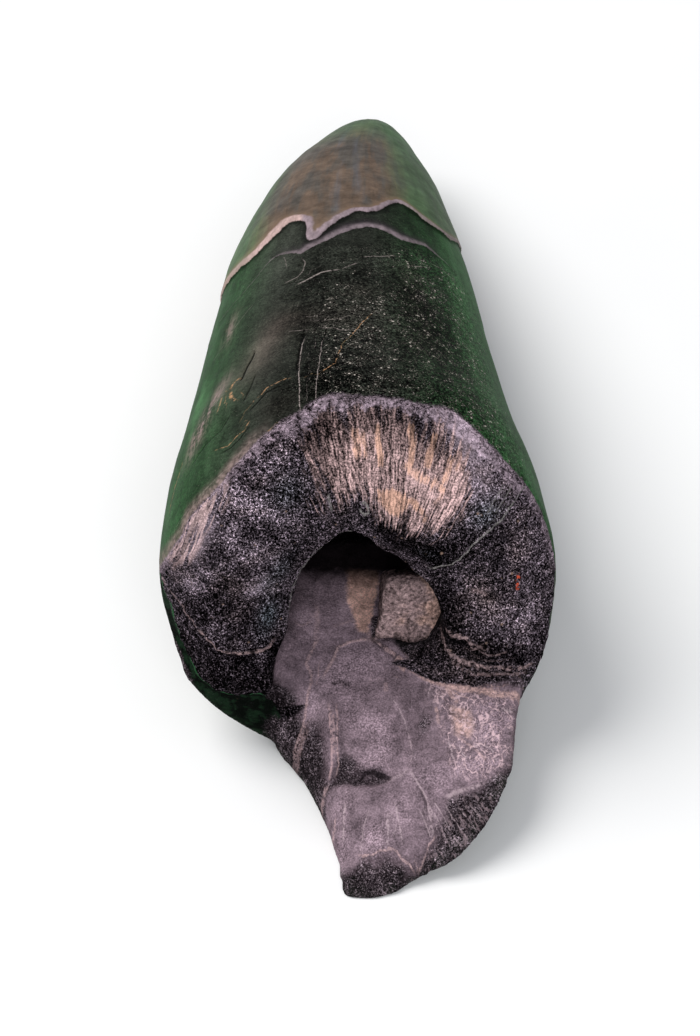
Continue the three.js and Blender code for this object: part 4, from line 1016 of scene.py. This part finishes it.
class Paint:
    """Short names for the nodes of one material."""
    def __init__(self, name):
        self.mat = bpy.data.materials.new(name)
        self.mat.use_nodes = True
        self.t = self.mat.node_tree
        self.t.nodes.clear()
        self.seen = {}

    def new(self, kind):
        return self.t.nodes.new(kind)

    def attr(self, name):
        if name not in self.seen:
            n = self.new("ShaderNodeAttribute")
            n.attribute_name = name
            self.seen[name] = n
        n = self.seen[name]
        return Wire(self.t, n.outputs["Vector"]), Wire(self.t, n.outputs["Alpha"])

    def split(self, v):
        n = self.new("ShaderNodeSeparateXYZ")
        put(self.t, n.inputs[0], v)
        return [Wire(self.t, n.outputs[k]) for k in range(3)]

    def join(self, x, y, z):
        n = self.new("ShaderNodeCombineXYZ")
        for k, val in enumerate((x, y, z)):
            put(self.t, n.inputs[k], val)
        return Wire(self.t, n.outputs[0])

    def vec(self, op, a, b):
        n = self.new("ShaderNodeVectorMath")
        n.operation = op
        put(self.t, n.inputs[0], a)
        put(self.t, n.inputs[1], b)
        return Wire(self.t, n.outputs[0])

    def noise(self, v, scale, detail=2.0, rough=.55, dist=0.0, lac=2.0):
        n = self.new("ShaderNodeTexNoise")
        put(self.t, n.inputs["Vector"], v)
        n.inputs["Scale"].default_value = scale
        n.inputs["Detail"].default_value = detail
        n.inputs["Roughness"].default_value = rough
        n.inputs["Distortion"].default_value = dist
        n.inputs["Lacunarity"].default_value = lac
        return Wire(self.t, n.outputs["Fac"])

    def noise_v(self, v, scale, detail=1.0):
        n = self.new("ShaderNodeTexNoise")
        put(self.t, n.inputs["Vector"], v)
        n.inputs["Scale"].default_value = scale
        n.inputs["Detail"].default_value = detail
        return Wire(self.t, n.outputs["Color"])

    def cells(self, v, scale, feature="F1", rand=1.0, out="Distance"):
        n = self.new("ShaderNodeTexVoronoi")
        n.feature = feature
        put(self.t, n.inputs["Vector"], v)
        n.inputs["Scale"].default_value = scale
        n.inputs["Randomness"].default_value = rand
        return Wire(self.t, n.outputs[out])

    def step(self, x, a, b):
        n = self.new("ShaderNodeMapRange")
        n.interpolation_type = "SMOOTHSTEP"
        put(self.t, n.inputs["Value"], x)
        put(self.t, n.inputs["From Min"], a)
        put(self.t, n.inputs["From Max"], b)
        return Wire(self.t, n.outputs[0])

    def mix(self, f, a, b):
        n = self.new("ShaderNodeMix")
        n.data_type = "RGBA"
        n.clamp_factor = True
        put(self.t, n.inputs[0], f)
        put(self.t, n.inputs[6], a)
        put(self.t, n.inputs[7], b)
        return Wire(self.t, n.outputs[2])

    def lerp(self, f, a, b):
        n = self.new("ShaderNodeMix")
        n.data_type = "FLOAT"
        n.clamp_factor = True
        put(self.t, n.inputs[0], f)
        put(self.t, n.inputs[2], a)
        put(self.t, n.inputs[3], b)
        return Wire(self.t, n.outputs[0])

    def tint(self, colour, k):
        """colour times the number k."""
        n = self.new("ShaderNodeVectorMath")
        n.operation = "SCALE"
        put(self.t, n.inputs[0], colour)
        put(self.t, n.inputs["Scale"], k)
        return Wire(self.t, n.outputs[0])

    def tone(self, hue, level):
        """The hue at a display level of 0 to 1."""
        return self.tint(hue if isinstance(hue, Wire) else hue[:3], self.pow(self.max(level, .004), 2.2))

    def abs(self, a): return math_node(self.t, "ABSOLUTE", a)
    def max(self, a, b): return math_node(self.t, "MAXIMUM", a, b)
    def min(self, a, b): return math_node(self.t, "MINIMUM", a, b)
    def pow(self, a, b): return math_node(self.t, "POWER", a, b)

    def clamp(self, a):
        n = self.new("ShaderNodeClamp")
        put(self.t, n.inputs[0], a)
        return Wire(self.t, n.outputs[0])

    def bump(self, height, strength=1.0, distance=.001, normal=None):
        n = self.new("ShaderNodeBump")
        n.inputs["Strength"].default_value = strength
        n.inputs["Distance"].default_value = distance
        put(self.t, n.inputs["Height"], height)
        if normal is not None:
            put(self.t, n.inputs["Normal"], normal)
        return Wire(self.t, n.outputs[0])

    def finish(self, colour, rough, normal=None, **fixed):
        b = self.new("ShaderNodeBsdfPrincipled")
        put(self.t, b.inputs["Base Color"], colour)
        put(self.t, b.inputs["Roughness"], rough)
        if normal is not None:
            put(self.t, b.inputs["Normal"], normal)
        for key, val in fixed.items():
            b.inputs[key.replace("_", " ")].default_value = val
        o = self.new("ShaderNodeOutputMaterial")
        self.t.links.new(b.outputs[0], o.inputs["Surface"])
        return self.mat


def line_mask(m, name, wobble, grow=1.0):
    """0 to 1 along the drawn lines of one kind."""
    v, _ = m.attr(name)
    d, w, half = m.split(v)
    d = m.abs(d + wobble)
    edge = half * grow
    return m.step(d / edge, 1.35, .45) * m.clamp(w)


def worms(m, v, scale, width, detail=2.0):
    """Short winding strokes, 1 on a stroke."""
    n = m.noise(v, scale, detail, .55)
    return m.step(m.abs(n - .5), width, width * .35)


# --------------------------------------------------------------------------
# the tooth's outside: black satin root, brown enamel, pale margin
# --------------------------------------------------------------------------
# hues, each of brightness one, for use with a display level
BLACK_HUE = (.97, 1.09, .86, 1)
# the green hue below is the colour of the painted green reflection on the flanks
GREEN_REFLECTION_HUE = (.60, 1.64, .62, 1)
EARTH_HUE = (1.17, .99, .83, 1)
STONE_HUE = (1.11, .875, 1.05, 1)
WARM_HUE = (1.22, .90, .90, 1)
BLUE_HUE = (.84, .99, 1.14, 1)
FIBRE_HUE = (1.33, .90, .88, 1)
TAN_HUE = (1.60, .95, .73, 1)
SHEEN = .006


def outside_material():
    m = Paint("tooth_outside")
    pos, _ = m.attr("pos")
    zone, rim = m.attr("zone")
    mb, green_reflection = m.attr("mask_b")
    enam, specks, brown = m.split(mb)
    ob, rt, rc = m.split(zone)
    s2, lip_w = m.attr("second_line")
    sec, sec_w, pink = m.split(s2)
    sect, _ = m.attr("sec")
    coat, _ = m.attr("coat")
    level, earth_and_sheen, _unused = m.split(coat)
    px, py, pz = m.split(pos)

    large = m.noise(pos, .16, 3, .55)
    mid = m.noise(pos, .75, 3, .6)
    long_v = m.vec("MULTIPLY", sect, (1.0, .10, 1.0))
    streak = m.noise(long_v, .9, 3, .6)
    streak2 = m.noise(long_v, 2.4, 2, .6)
    fine = m.noise(pos, 3.6, 3, .65)
    grain = m.noise(pos, 8.0, 2, .6)
    tiny = m.noise(pos, 13.0, 1, .5)

    # root: a dark ground with clouds, streaks and fine grain
    # painted green reflection on the flanks, clouded by noise
    gk = m.clamp(green_reflection + (large - .5) * .35 * green_reflection)
    rough_k = m.clamp(specks * 1.1)
    lev = level + (mid - .5) * .15 + (streak - .5) * .10 + (streak2 - .5) * (.05 + gk * .05) + (fine - .5) * (.09 + rough_k * .34) + (grain - .5) * (.09 + rough_k * .60)
    # brown hue from real staining and from the painted sheen patch on the left flank
    hue = m.mix(m.clamp(earth_and_sheen + (mid - .5) * .5 * earth_and_sheen), BLACK_HUE, EARTH_HUE)
    hue = m.mix(gk * (1.0 - m.clamp(earth_and_sheen) * .6), hue, GREEN_REFLECTION_HUE)
    root = m.tone(hue, lev)
    root = m.mix(m.clamp(pink * m.step(streak2 + (fine - .5) * .7, .30, .62)) * .88, root, m.tone((1.28, .91, .86, 1), .47 + (fine - .5) * .4 + (streak2 - .5) * .3))
    # fine white specks, each in a cell of its own
    jitter = m.noise(pos, 1.3, 2, .6)
    have = m.clamp(specks * m.step(jitter, .28, .66) * 1.12)
    cell = m.cells(pos, 2.9)
    dot = m.step(cell + (1.0 - have) * .24, .26, .13) * m.step(m.noise(pos, 2.1, 1, .5), .42, .58)
    cell_b = m.cells(pos, 5.2)
    dot_b = m.step(cell_b + (1.0 - have) * .28, .31, .15) * m.step(m.noise(pos, 3.1, 1, .5), .42, .56)
    dust = m.step(tiny + (have - 1.0) * .14, .585, .65)
    # lines
    wob = (m.noise(pos, 1.6, 3, .6) - .5) * .22 + (fine - .5) * .10
    tan_l = line_mask(m, "tan_line", wob, 1.0) * m.step(fine + (grain - .5) * .5, .38, .52)
    pale_l = line_mask(m, "pale_line", wob * .5, 1.0) * m.step(fine + (grain - .5) * .6, .36, .52)
    dark_l = line_mask(m, "dark_line", wob * .8, 1.1)
    root = m.mix(dark_l * .9, root, lin(7, 8, 7))
    root = m.mix(m.clamp(tan_l * .85), root, m.mix(m.step(mid + (fine - .5) * .6, .44, .60), lin(98, 84, 62), lin(180, 138, 102)))
    root = m.mix(m.clamp(pale_l * .8), root, lin(158, 146, 142))
    root = m.mix(m.clamp(dot * .95), root, lin(202, 192, 182))
    root = m.mix(m.clamp(dot_b * .90), root, lin(172, 164, 156))
    root = m.mix(m.clamp(dust * .70), root, lin(118, 112, 104))

    # the second pale line, where an inner layer ends
    s_n = sec + (m.noise(pos, 1.1, 3, .6) - .5) * .24 + (fine - .5) * .10
    half = .035 + sec_w * .26
    side = s_n / half
    band2 = m.step(side, -.45, -.10) * m.step(side, 2.2, .2)
    hatch = m.noise(m.vec("MULTIPLY", sect, (2.6, .9, 2.6)), 1.5, 2, .5)
    # painted shadow: a dark strip beside the second pale line
    shadow_beside_band2 = m.step(s_n, 1.25, .30) * m.step(s_n, .0, .3) * sec_w
    root = m.mix(shadow_beside_band2 * .65, root, lin(50, 43, 48))
    root = m.mix(m.clamp(band2 * (.40 + sec_w * .50) * m.step(fine, .20, .42)), root, m.tone((1.13, .90, .99, 1), .44 + (hatch - .5) * .22 + (fine - .5) * .25))

    # enamel
    e = enam + (m.noise(pos, 1.3, 3, .62) - .5) * .20
    patch = m.noise(m.vec("MULTIPLY", sect, (1.0, .35, 1.0)), .42, 3, .6)
    lev_c = .320 + (patch - .5) * .16 + (streak - .5) * .10 + (streak2 - .5) * .06 + (fine - .5) * .06 + (m.noise(pos, 1.0, 3, .65) - .5) * .24
    tan_k = m.step(patch + (streak2 - .5) * .5 + m.step(enam, 5.0, 1.0) * .10, .44, .66)
    hue_c = m.mix(tan_k * .9, (1.12, .98, .85, 1), (1.36, .94, .68, 1))
    hue_c = m.mix(m.step(streak, .50, .70) * m.step(m.abs(px - .3), 2.6, .8) * .75, hue_c, (.98, .98, 1.08, 1))
    # painted green reflection along the crown's edges and at the tip
    green_reflection_edge = m.clamp(m.step(green_reflection + (patch - .5) * .7 + (streak - .5) * .4, .20, 1.05) * .90 + m.step(py, 39.0, 46.5) * .88)
    hue_c = m.mix(green_reflection_edge, hue_c, (.74, 1.40, .65, 1))
    crown = m.tone(hue_c, lev_c)
    crown = m.mix(m.step(m.noise(long_v, 3.6, 2, .6), .58, .70) * m.step(enam, 3.6, 1.2) * m.step(m.noise(pos, .6, 2, .5), .48, .62) * .5, crown, lin(52, 46, 40))
    base = m.mix(m.step(e, -.03, .03), root, crown)
    # broken edge of the enamel: pale, with faint short cross lines
    cross = m.noise(m.vec("MULTIPLY", sect, (3.0, 1.0, 3.0)), 1.5, 2, .5)
    lip = m.step(e, -.05, .02) * m.step(e / lip_w + (mid - .5) * .9, 1.25, .75)
    wide = m.step(lip_w, .48, .60)
    lip_c = m.tone(m.mix(wide, (1.16, .90, 1.0, 1), (1.30, .92, .86, 1)), m.lerp(wide, .52, .63) + (cross - .5) * .30 + (fine - .5) * .10)
    # the broken lip turns greyer under the painted green reflection
    lip_c = m.mix(m.step(green_reflection, .45, .9) * .45, lip_c, lin(120, 112, 98))
    base = m.mix(m.step(e / lip_w, 2.6, .8) * m.step(e, -.05, .05) * .40, base, lin(138, 112, 92))
    base = m.mix(lip * .95, base, lip_c)
    # painted shadow: a thin near-black strip just below the raised enamel margin
    base = m.mix(m.step(e, -.60, -.04) * m.step(e, .02, -.04) * .65, base, lin(11, 12, 11))

    # a stained band along the break on the left
    stain = m.step(ob + (fine - .5) * .5 + (mid - .5) * 1.2, 1.35, .15) * m.step(px, -4.2, -6.0) * m.step(pz, 9.0, 12.0)
    base = m.mix(stain * .60, base, m.tone((1.28, .93, .86, 1), .40 + (fine - .5) * .55))
    # the worn rim next to the break
    wear = m.step(ob + (fine - .5) * .45 + (mid - .5) * .6, .30, .04) * m.step(pz, 8.0, 13.0)
    base = m.mix(wear * .9, base, rim_colour(m, pos, mid, fine, grain, .0))

    rough = m.lerp(m.step(e, -.05, .1), .44, .38) + (fine - .5) * .18 + wear * .25 + (dot + dust) * .1
    height = fine * .018 + grain * .008 + m.step(e, -.06, .06) * .03 - dark_l * .06 - tan_l * .012 + (dot + dot_b + dust) * .012 + streak * .02 + wear * grain * .08
    return m.finish(base, m.clamp(rough), m.bump(height, 1.0, .001), Specular_IOR_Level=SHEEN)


def rim_colour(m, pos, mid, fine, grain, more):
    """Pale lavender, pitted dentine of the rim, crossed by dark winding lines."""
    line = m.max(worms(m, pos, 1.9, .030), worms(m, m.vec("ADD", pos, (3.0, 1.0, 7.0)), 3.4, .030) * .7)
    lev = .485 + more + (mid - .5) * .60 + (fine - .5) * .55 + (grain - .5) * 1.15 - line * .33
    return m.tone((1.13, .865, 1.03, 1), lev)


# --------------------------------------------------------------------------
# the broken surfaces: ring, fibre patch, cavity and tongue
# --------------------------------------------------------------------------
def broken_material():
    m = Paint("tooth_break")
    pos, _ = m.attr("pos")
    zone, rim = m.attr("zone")
    ob, rt, rc = m.split(zone)
    ma, dark = m.attr("mask_a")
    area, pale, tan = m.split(ma)
    _, green_reflection = m.attr("mask_b")
    mc, _ = m.attr("mask_c")
    smooth, warm, blue = m.split(mc)
    x, y, z = m.split(pos)

    warp = m.vec("SUBTRACT", m.noise_v(pos, 1.4, 2), (.5, .5, .5))
    wpos = m.vec("ADD", pos, m.tint(warp, .30))
    coarse = m.noise(pos, .55, 3, .6)
    mid = m.noise(wpos, 1.5, 3, .6)
    fine = m.noise(wpos, 3.3, 3, .65)
    grain = m.noise(wpos, 5.6, 2, .6)
    sand = m.noise(pos, 10.5, 1, .5)
    speck = grain * .55 + sand * .45
    # short winding strokes over grain: about zero on average, about one in spread
    salt = (m.noise(pos, 10.6, 1, .5) - .5) * 13.5
    curl = worms(m, m.vec("ADD", wpos, (7.3, 2.1, 5.9)), 5.0, .055) * m.step(fine, .40, .52)
    curl_b = worms(m, m.vec("ADD", wpos, (1.7, 8.3, 3.1)), 8.2, .065, 1.0)
    tex = salt * .68 + curl * 2.5 + curl_b * 1.5 - .76

    is_tongue = m.step(rt + (fine - .5) * .12, -.05, .16)
    is_wall = m.step(rc * -1.0 + (fine - .5) * .3, .02, .45) * m.step(y + (mid - .5) * .8, -1.1, .4)

    # ring: bright winding strokes on black
    mu = m.max(.150 + pale * .25 - dark * .16 + (coarse - .5) * .26 + (mid - .5) * .24, .015)
    mu = m.lerp(m.clamp(smooth), mu, .40)
    spread = (.080 + mu * .27) * (1.0 - m.clamp(smooth) * .72)
    warm_k = m.clamp(warm * .9 + (m.noise(pos, .9, 2, .5) - .5) * 1.6)
    hue = m.mix(warm_k * .9, STONE_HUE, WARM_HUE)
    hue = m.mix(m.clamp(blue), hue, BLUE_HUE)
    ring = m.tone(hue, mu + tex * spread)
    # small tan crumbs
    crumbs = m.step(m.cells(pos, 1.5), .18, .06) * m.step(m.noise(pos, 1.9, 1, .5), .54, .64)
    ring = m.mix(crumbs * .65, ring, lin(166, 138, 122))
    # fibres: fine streaks fanning out from below, broken up by grain
    dx, dz = x - 1.8, z - 12.0
    ang = math_node(m.t, "ARCTAN2", dx, dz)
    rad = math_node(m.t, "SQRT", dx * dx + dz * dz)
    arc = ang * 7.5 + (m.noise(pos, .9, 2, .5) - .5) * .30
    fib1 = m.noise(m.join(arc, rad * .09, 0.0), 5.6, 2, .6)
    fib2 = m.noise(m.join(arc, rad * .30, 2.0), 1.2, 2, .55)
    fib3 = m.noise(m.join(arc, rad * .22, 4.0), 10.0, 1, .5)
    fib4 = m.noise(m.join(arc, rad * .55, 7.0), 2.6, 2, .6)
    in_fib = m.step(area + (fib1 - .5) * 3.4 + (fib2 - .5) * 1.8 + (fine - .5) * .8, -.55, .35)
    # painted shade: the fibre patch darkens just under the raised rim band
    shade_under_rim = m.step(rim + (fib1 - .5) * 1.6, -1.30, -.25)
    thread = (fib1 - .5) * 5.0 + (fib3 - .5) * 5.0
    tan_k = m.clamp(m.step(m.clamp(tan) + (fib4 - .5) * .8 + (fib1 - .5) * 1.1 + (mid - .5) * .5 + (fine - .5) * .4, .30, .85))
    mu_f = m.lerp(m.step(x + (z - 18.0) * .25, -1.9, 2.2), .305, .470) - shade_under_rim * .22 + tan_k * .10 + (fib2 - .5) * .42 + (fib4 - .5) * .22 + m.clamp(pale) * .13
    lev_f = m.min(mu_f + thread * m.lerp(tan_k, .180, .120) + salt * m.lerp(tan_k, .075, .040) + curl_b * .04, m.lerp(tan_k, .80, .74))
    fcol = m.tone(m.mix(tan_k, FIBRE_HUE, TAN_HUE), lev_f)
    ring = m.mix(in_fib, ring, fcol)
    ring = m.mix(m.step(m.clamp(tan) * (1.0 - in_fib) + (fine - .5) * .9 + (sand - .5) * .5, .45, .75) * .60, ring, lin(180, 148, 130))
    # rim band
    on_top = m.step(z, 10.5, 14.5)
    rim_w = m.step(rim + (mid - .5) * 1.0 + (fine - .5) * .45, -.08, .10)
    edge = m.step(ob + (fine - .5) * .3, -.5, -.1)
    ring = m.mix(m.clamp(rim_w * on_top + edge * on_top) * (1.0 - m.clamp(smooth) * .6) * .94, ring, rim_colour(m, pos, mid, fine, speck, pale * .15 - m.clamp(dark) * .06))
    # lines
    wob = (m.noise(pos, 2.2, 3, .6) - .5) * .24 + (fine - .5) * .12
    tan_l = line_mask(m, "tan_line", wob, 1.0)
    pale_l = line_mask(m, "pale_line", wob * .6, 1.0)
    dark_l = line_mask(m, "dark_line", wob * .8, 1.15)
    streaks = m.noise(m.join(x * 1.0 - z * .42, z * .12, 1.0), 5.5, 2, .55)
    on_left = m.step(m.abs(rim + .25), .75, .35) * m.step(x, -6.3, -7.2) * m.step(z, 14.2, 15.4) * m.step(z, 19.6, 18.9)
    ring = m.mix(on_left * m.step(streaks, .45, .55) * .90, ring, m.tone((1.28, .90, .90, 1), .70 + salt * .05))
    ring = m.mix(dark_l * .85, ring, lin(5, 5, 6))
    ring = m.mix(m.clamp(tan_l * m.step(fine + (grain - .5) * .5, .36, .54)) * .85, ring, m.tone((1.28, .89, .90, 1), .53 + (speck - .5) * 1.1))
    ring = m.mix(m.clamp(pale_l * m.step(fine, .26, .44)) * .85, ring, m.tone(m.mix(m.step(x, -6.0, -7.0), (1.06, .99, .95, 1), (1.27, .90, .88, 1)), .54 + (speck - .5) * .9))
    # iron-red specks on the right arm
    red = m.step(m.abs(x - 9.38 + (fine - .5) * .12), .12, .05) * m.step(m.abs(z - 12.2), .55, .35) * m.step(m.noise(pos, 7.0, 1, .5), .44, .54)
    ring = m.mix(red, ring, lin(214, 92, 66))

    # wall of the cavity: dark, with painted shade deepening to near black inwards
    cavity_shade = m.step(y, -2.0, 3.0)
    wall = m.tone((1.08, .93, .97, 1), .17 + (mid - .5) * .35 + (fine - .5) * .2)
    wall = m.tint(wall, 1.0 - cavity_shade * .96)
    ring = m.mix(is_wall, ring, wall)

    # tongue and floor
    cloud = m.noise(pos, 1.0, 4, .65)
    mu_t = .425 + pale * .15 + (coarse - .5) * .24 + (cloud - .5) * .36 + (mid - .5) * .10 - m.clamp(dark) * .10
    tan_t = m.step(m.clamp(tan) + (mid - .5) * .8 + (fine - .5) * .6, .25, .85)
    deep_tan = m.max(m.step(y, .6, 1.8), m.step(tan + (fine - .5) * .8, .72, 1.0))
    sp = .024 + m.clamp(pale) * .060
    lev_t = mu_t + salt * sp + (fine - .5) * .20 + tan_t * (m.lerp(deep_tan, .06, .14) + (fine - .5) * .3)
    hue_t = m.mix(tan_t * .9, (1.17, .85, 1.0, 1), m.mix(deep_tan, (1.28, .88, .88, 1), m.mix(m.step(y, .0, .8), (1.40, .90, .82, 1), (1.47, .90, .74, 1))))
    tg = m.tone(hue_t, lev_t)
    # net of pale veins
    net_v = m.vec("ADD", m.vec("MULTIPLY", wpos, (1.0, .80, .6)), m.tint(warp, .75))
    vein = m.cells(net_v, 1.2, "DISTANCE_TO_EDGE")
    netm = m.step(area + (mid - .5) * 1.6 + (coarse - .5) * 1.4, -.35, .60) * is_tongue
    curl_n = worms(m, m.vec("MULTIPLY", wpos, (1.0, .55, .6)), 1.2, .025)
    curl_m = worms(m, m.vec("ADD", m.vec("MULTIPLY", wpos, (1.2, .6, .6)), (3.0, 9.0, 1.0)), 1.9, .029)
    some = m.step(m.noise(pos, .8, 2, .5), .38, .58)
    veins = m.max(m.max(m.step(vein, .044, .012) * m.step(fine, .42, .54) * .9, curl_n * .9), curl_m * some * .7)
    tg = m.mix(netm * veins * m.step(grain, .34, .52) * .85, tg, lin(224, 192, 198))
    # rough dark ground
    dk = m.step(m.clamp(dark) + (mid - .5) * 1.15 + (fine - .5) * .90 + (grain - .5) * .4, .22, .92)
    mu_d = m.max(.138 + (coarse - .5) * .4 + (mid - .5) * .4 + pale * .12 + m.step(x, 3.0, 5.5) * .05, .03)
    rough_c = m.tone((1.12, .875, 1.0, 1), mu_d + tex * (.070 + mu_d * .28))
    scr = m.noise(m.vec("MULTIPLY", m.turn(m.vec("ADD", pos, m.tint(warp, .4)), -31), (3.6, .50, 1.0)), 1.6, 2, .55)
    front_r = m.step(x, 2.6, 4.4) * m.step(y, -8.4, -9.4)
    streaky = m.step(scr, .53, .62) * front_r * m.step(fine, .36, .54)
    rough_c = m.mix(streaky * .7, rough_c, lin(160, 138, 144))
    tg = m.mix(dk * .92, tg, rough_c)
    tg = m.mix(dark_l * .8, tg, lin(16, 13, 15))
    tg = m.mix(m.clamp(pale_l * m.step(fine + (grain - .5) * .5, .36, .56)) * .68, tg, m.mix(m.step(y, -7.6, -7.0) * m.step(x, .5, -.2), lin(200, 178, 184), lin(198, 165, 166)))
    tg = m.mix(m.clamp(tan_l * m.step(fine * .6 + speck * .4 + (cloud - .5) * .3, .36, .52)) * .80, tg, m.tone(m.mix(m.step(x, 2.2, 3.2) * m.step(y, -4.2, -3.4), (1.29, .88, .90, 1), (1.38, .90, .83, 1)), .60 + (speck - .5) * 1.0))
    # inside the cavity: painted shade darkens the floor with depth, painted light lifts it just inside the mouth, and
    # it is darker towards the left wall
    tg = m.tint(tg, m.lerp(m.step(y + (mid - .5) * 1.2, 4.0, 6.2), 1.0, .03) * m.lerp(m.step(y, -1.5, 3.0), 1.0, 1.9) * m.lerp(m.step(x, -2.2, -3.8) * m.step(y, -.5, 1.5), 1.0, .55))

    base = m.mix(is_tongue, ring, tg)
    # smooth green-black skin low on the left
    coat, _ = m.attr("coat")
    _a, _b, skin = m.split(coat)
    sk = m.step(skin + (mid - .5) * .5 + (fine - .5) * .3, -.06, .20) * (1.0 - is_tongue)
    base = m.mix(sk * .94, base, m.mix(m.step(mid + (coarse - .5) * .6, .42, .60), lin(9, 14, 10), lin(24, 42, 28)))
    strand = m.step(m.abs(skin + (mid - .5) * .16), .085, .040) * m.step(fine, .32, .44) * (1.0 - is_tongue) * m.step(x, -4.7, -5.1) * m.step(rc, -.3, .1)
    base = m.mix(strand * .60, base, lin(52, 104, 64))
    # smooth green-black edge low on the left, and the underside
    low = m.step(z, 7.5, 3.5) * m.step(ob, -1.1, -.2) * (1.0 - is_tongue * .6)
    base = m.mix(low * .85, base, m.mix(m.step(mid, .4, .6), lin(8, 14, 9), lin(26, 42, 28)))
    # across the very edge it turns into the outside, with the outside's painted green reflection
    out_c = m.tone(m.mix(m.clamp(green_reflection), BLACK_HUE, GREEN_REFLECTION_HUE), .15 + m.clamp(green_reflection) * .10 + (mid - .5) * .2)
    base = m.mix(m.step(ob + (fine - .5) * .4, .05, .32), base, out_c)

    calm = m.clamp(is_tongue * (1.0 - dk) + smooth * .8 * (1.0 - is_tongue))
    rough = m.lerp(calm, .66, .52) + (fine - .5) * .25 - low * .2
    amp = m.lerp(calm, 1.0, .42)
    height = (speck * .075 + fine * .050) * amp + m.clamp(tex * .25 + .4) * (1.0 - is_tongue) * (1.0 - in_fib) * (1.0 - calm) * .06 + dk * is_tongue * tex * .010
    height = height + in_fib * (1.0 - is_tongue) * (thread * .014) + netm * veins * .03 - dark_l * .06 + (tan_l + pale_l) * .02
    height = height * (1.0 - low * .75)
    return m.finish(base, m.clamp(rough), m.bump(height, 1.0, .001), Specular_IOR_Level=SHEEN)


def sediment_material():
    m = Paint("sediment")
    pos, _ = m.attr("pos")
    coarse = m.noise(pos, .7, 3, .6)
    mid = m.noise(pos, 2.2, 3, .65)
    grain = m.noise(pos, 5.6, 1, .5)
    px, py, pz = m.split(pos)
    strokes = worms(m, pos, 3.6, .05) - worms(m, m.vec("ADD", pos, (4.0, 2.0, 1.0)), 2.6, .045)
    tan_k = m.step(m.noise(pos, .45, 2, .5) + (px - 3.4) * .12 + (mid - .5) * .3, .48, .66)
    # painted shade: the lump darkens towards its foot, over the shadowed ledge
    low = m.step(pz + (mid - .5) * 1.2, 7.7, 6.6)
    lev = .468 + (coarse - .5) * .30 + (mid - .5) * .40 + (grain - .5) * .62 + strokes * .07 + tan_k * .06 - low * .16
    base = m.tone(m.mix(tan_k * .8, (1.25, .875, .87, 1), (1.46, .92, .74, 1)), lev)
    height = mid * .06 + grain * .09 + strokes * .02
    return m.finish(base, m.lerp(mid, .80, .95), m.bump(height, 1.0, .001), Specular_IOR_Level=SHEEN)


def vlen(self, a, b):
    n = self.new("ShaderNodeVectorMath")
    n.operation = "DISTANCE"
    put(self.t, n.inputs[0], a)
    put(self.t, n.inputs[1], b)
    return Wire(self.t, n.outputs["Value"])


def turn(self, v, degrees):
    n = self.new("ShaderNodeVectorRotate")
    n.rotation_type = "Z_AXIS"
    put(self.t, n.inputs["Vector"], v)
    n.inputs["Angle"].default_value = math.radians(degrees)
    return Wire(self.t, n.outputs[0])


Paint.vlen = vlen
Paint.turn = turn

tooth.data.materials.append(outside_material())
tooth.data.materials.append(broken_material())
sediment.data.materials.append(sediment_material())

# the faces of the break take the second material
me = tooth.data
zv = np.zeros(len(me.vertices) * 4, np.float32)
me.attributes["zone"].data.foreach_get("color", zv)
zv = zv.reshape(-1, 4)[:, 0]
total = np.zeros(len(me.polygons), np.int32)
me.polygons.foreach_get("loop_total", total)
loops = np.zeros(len(me.loops), np.int32)
me.loops.foreach_get("vertex_index", loops)
first = np.concatenate([[0], np.cumsum(total)[:-1]])
mean_ob = np.add.reduceat(zv[loops], first) / total
me.polygons.foreach_set("material_index", (mean_ob < .02).astype(np.int32))
me.update()

# --------------------------------------------------------------------------
# floor, light, camera
# --------------------------------------------------------------------------
floor_me = bpy.data.meshes.new("floor")
floor_me.from_pydata([(-.9, -.9, 0), (.9, -.9, 0), (.9, .9, 0), (-.9, .9, 0)], [], [(0, 1, 2, 3)])
floor = bpy.data.objects.new("floor", floor_me)
floor.location = (0, 0, CAD_BOX[0][2] - .00002)
bpy.context.scene.collection.objects.link(floor)
fm = Paint("floor_paper")
tex = fm.new("ShaderNodeTexCoord")
paper = fm.noise(Wire(fm.t, tex.outputs["Object"]), 60, 2, .5)
floor_me.materials.append(fm.finish(fm.mix(paper, lin(236, 236, 236), lin(242, 242, 241)), .9))


def area_light(name, at, to, size, watts, colour=(1, 1, 1)):
    data = bpy.data.lights.new(name, "AREA")
    data.shape = "DISK"
    data.size = size
    data.energy = watts
    data.color = colour
    ob = bpy.data.objects.new(name, data)
    ob.location = at
    ob.rotation_euler = (Vector(to) - Vector(at)).to_track_quat("-Z", "Y").to_euler()
    bpy.context.scene.collection.objects.link(ob)
    return ob


area_light("key", (-.22, .03, .36), (0, -.004, .01), .30, 1.45, (1.0, .99, .97))
area_light("fill", (.02, -.38, .26), (0, -.01, .01), .26, .65, (.97, .98, 1.0))

world = bpy.data.worlds.new("soft_room")
world.use_nodes = True
bg = world.node_tree.nodes["Background"]
bg.inputs["Color"].default_value = (.93, .95, 1.0, 1)
bg.inputs["Strength"].default_value = .50
bpy.context.scene.world = world
bpy.context.scene.view_settings.view_transform = "Standard"

cam_data = bpy.data.cameras.new("camera")
cam_data.sensor_width = 36.0
cam_data.lens = 3027.0 / 1036.0 * 36.0
cam_data.clip_start = .01
cam = bpy.data.objects.new("camera", cam_data)
target = Vector(to_metres((0, 7.43, 9.0)))
cam.location = target + Vector((0, -math.cos(math.radians(45)), math.sin(math.radians(45)))) * .1777
cam.rotation_euler = (target - cam.location).to_track_quat("-Z", "Y").to_euler()
bpy.context.scene.collection.objects.link(cam)
bpy.context.scene.camera = cam

bpy.context.view_layer.update()
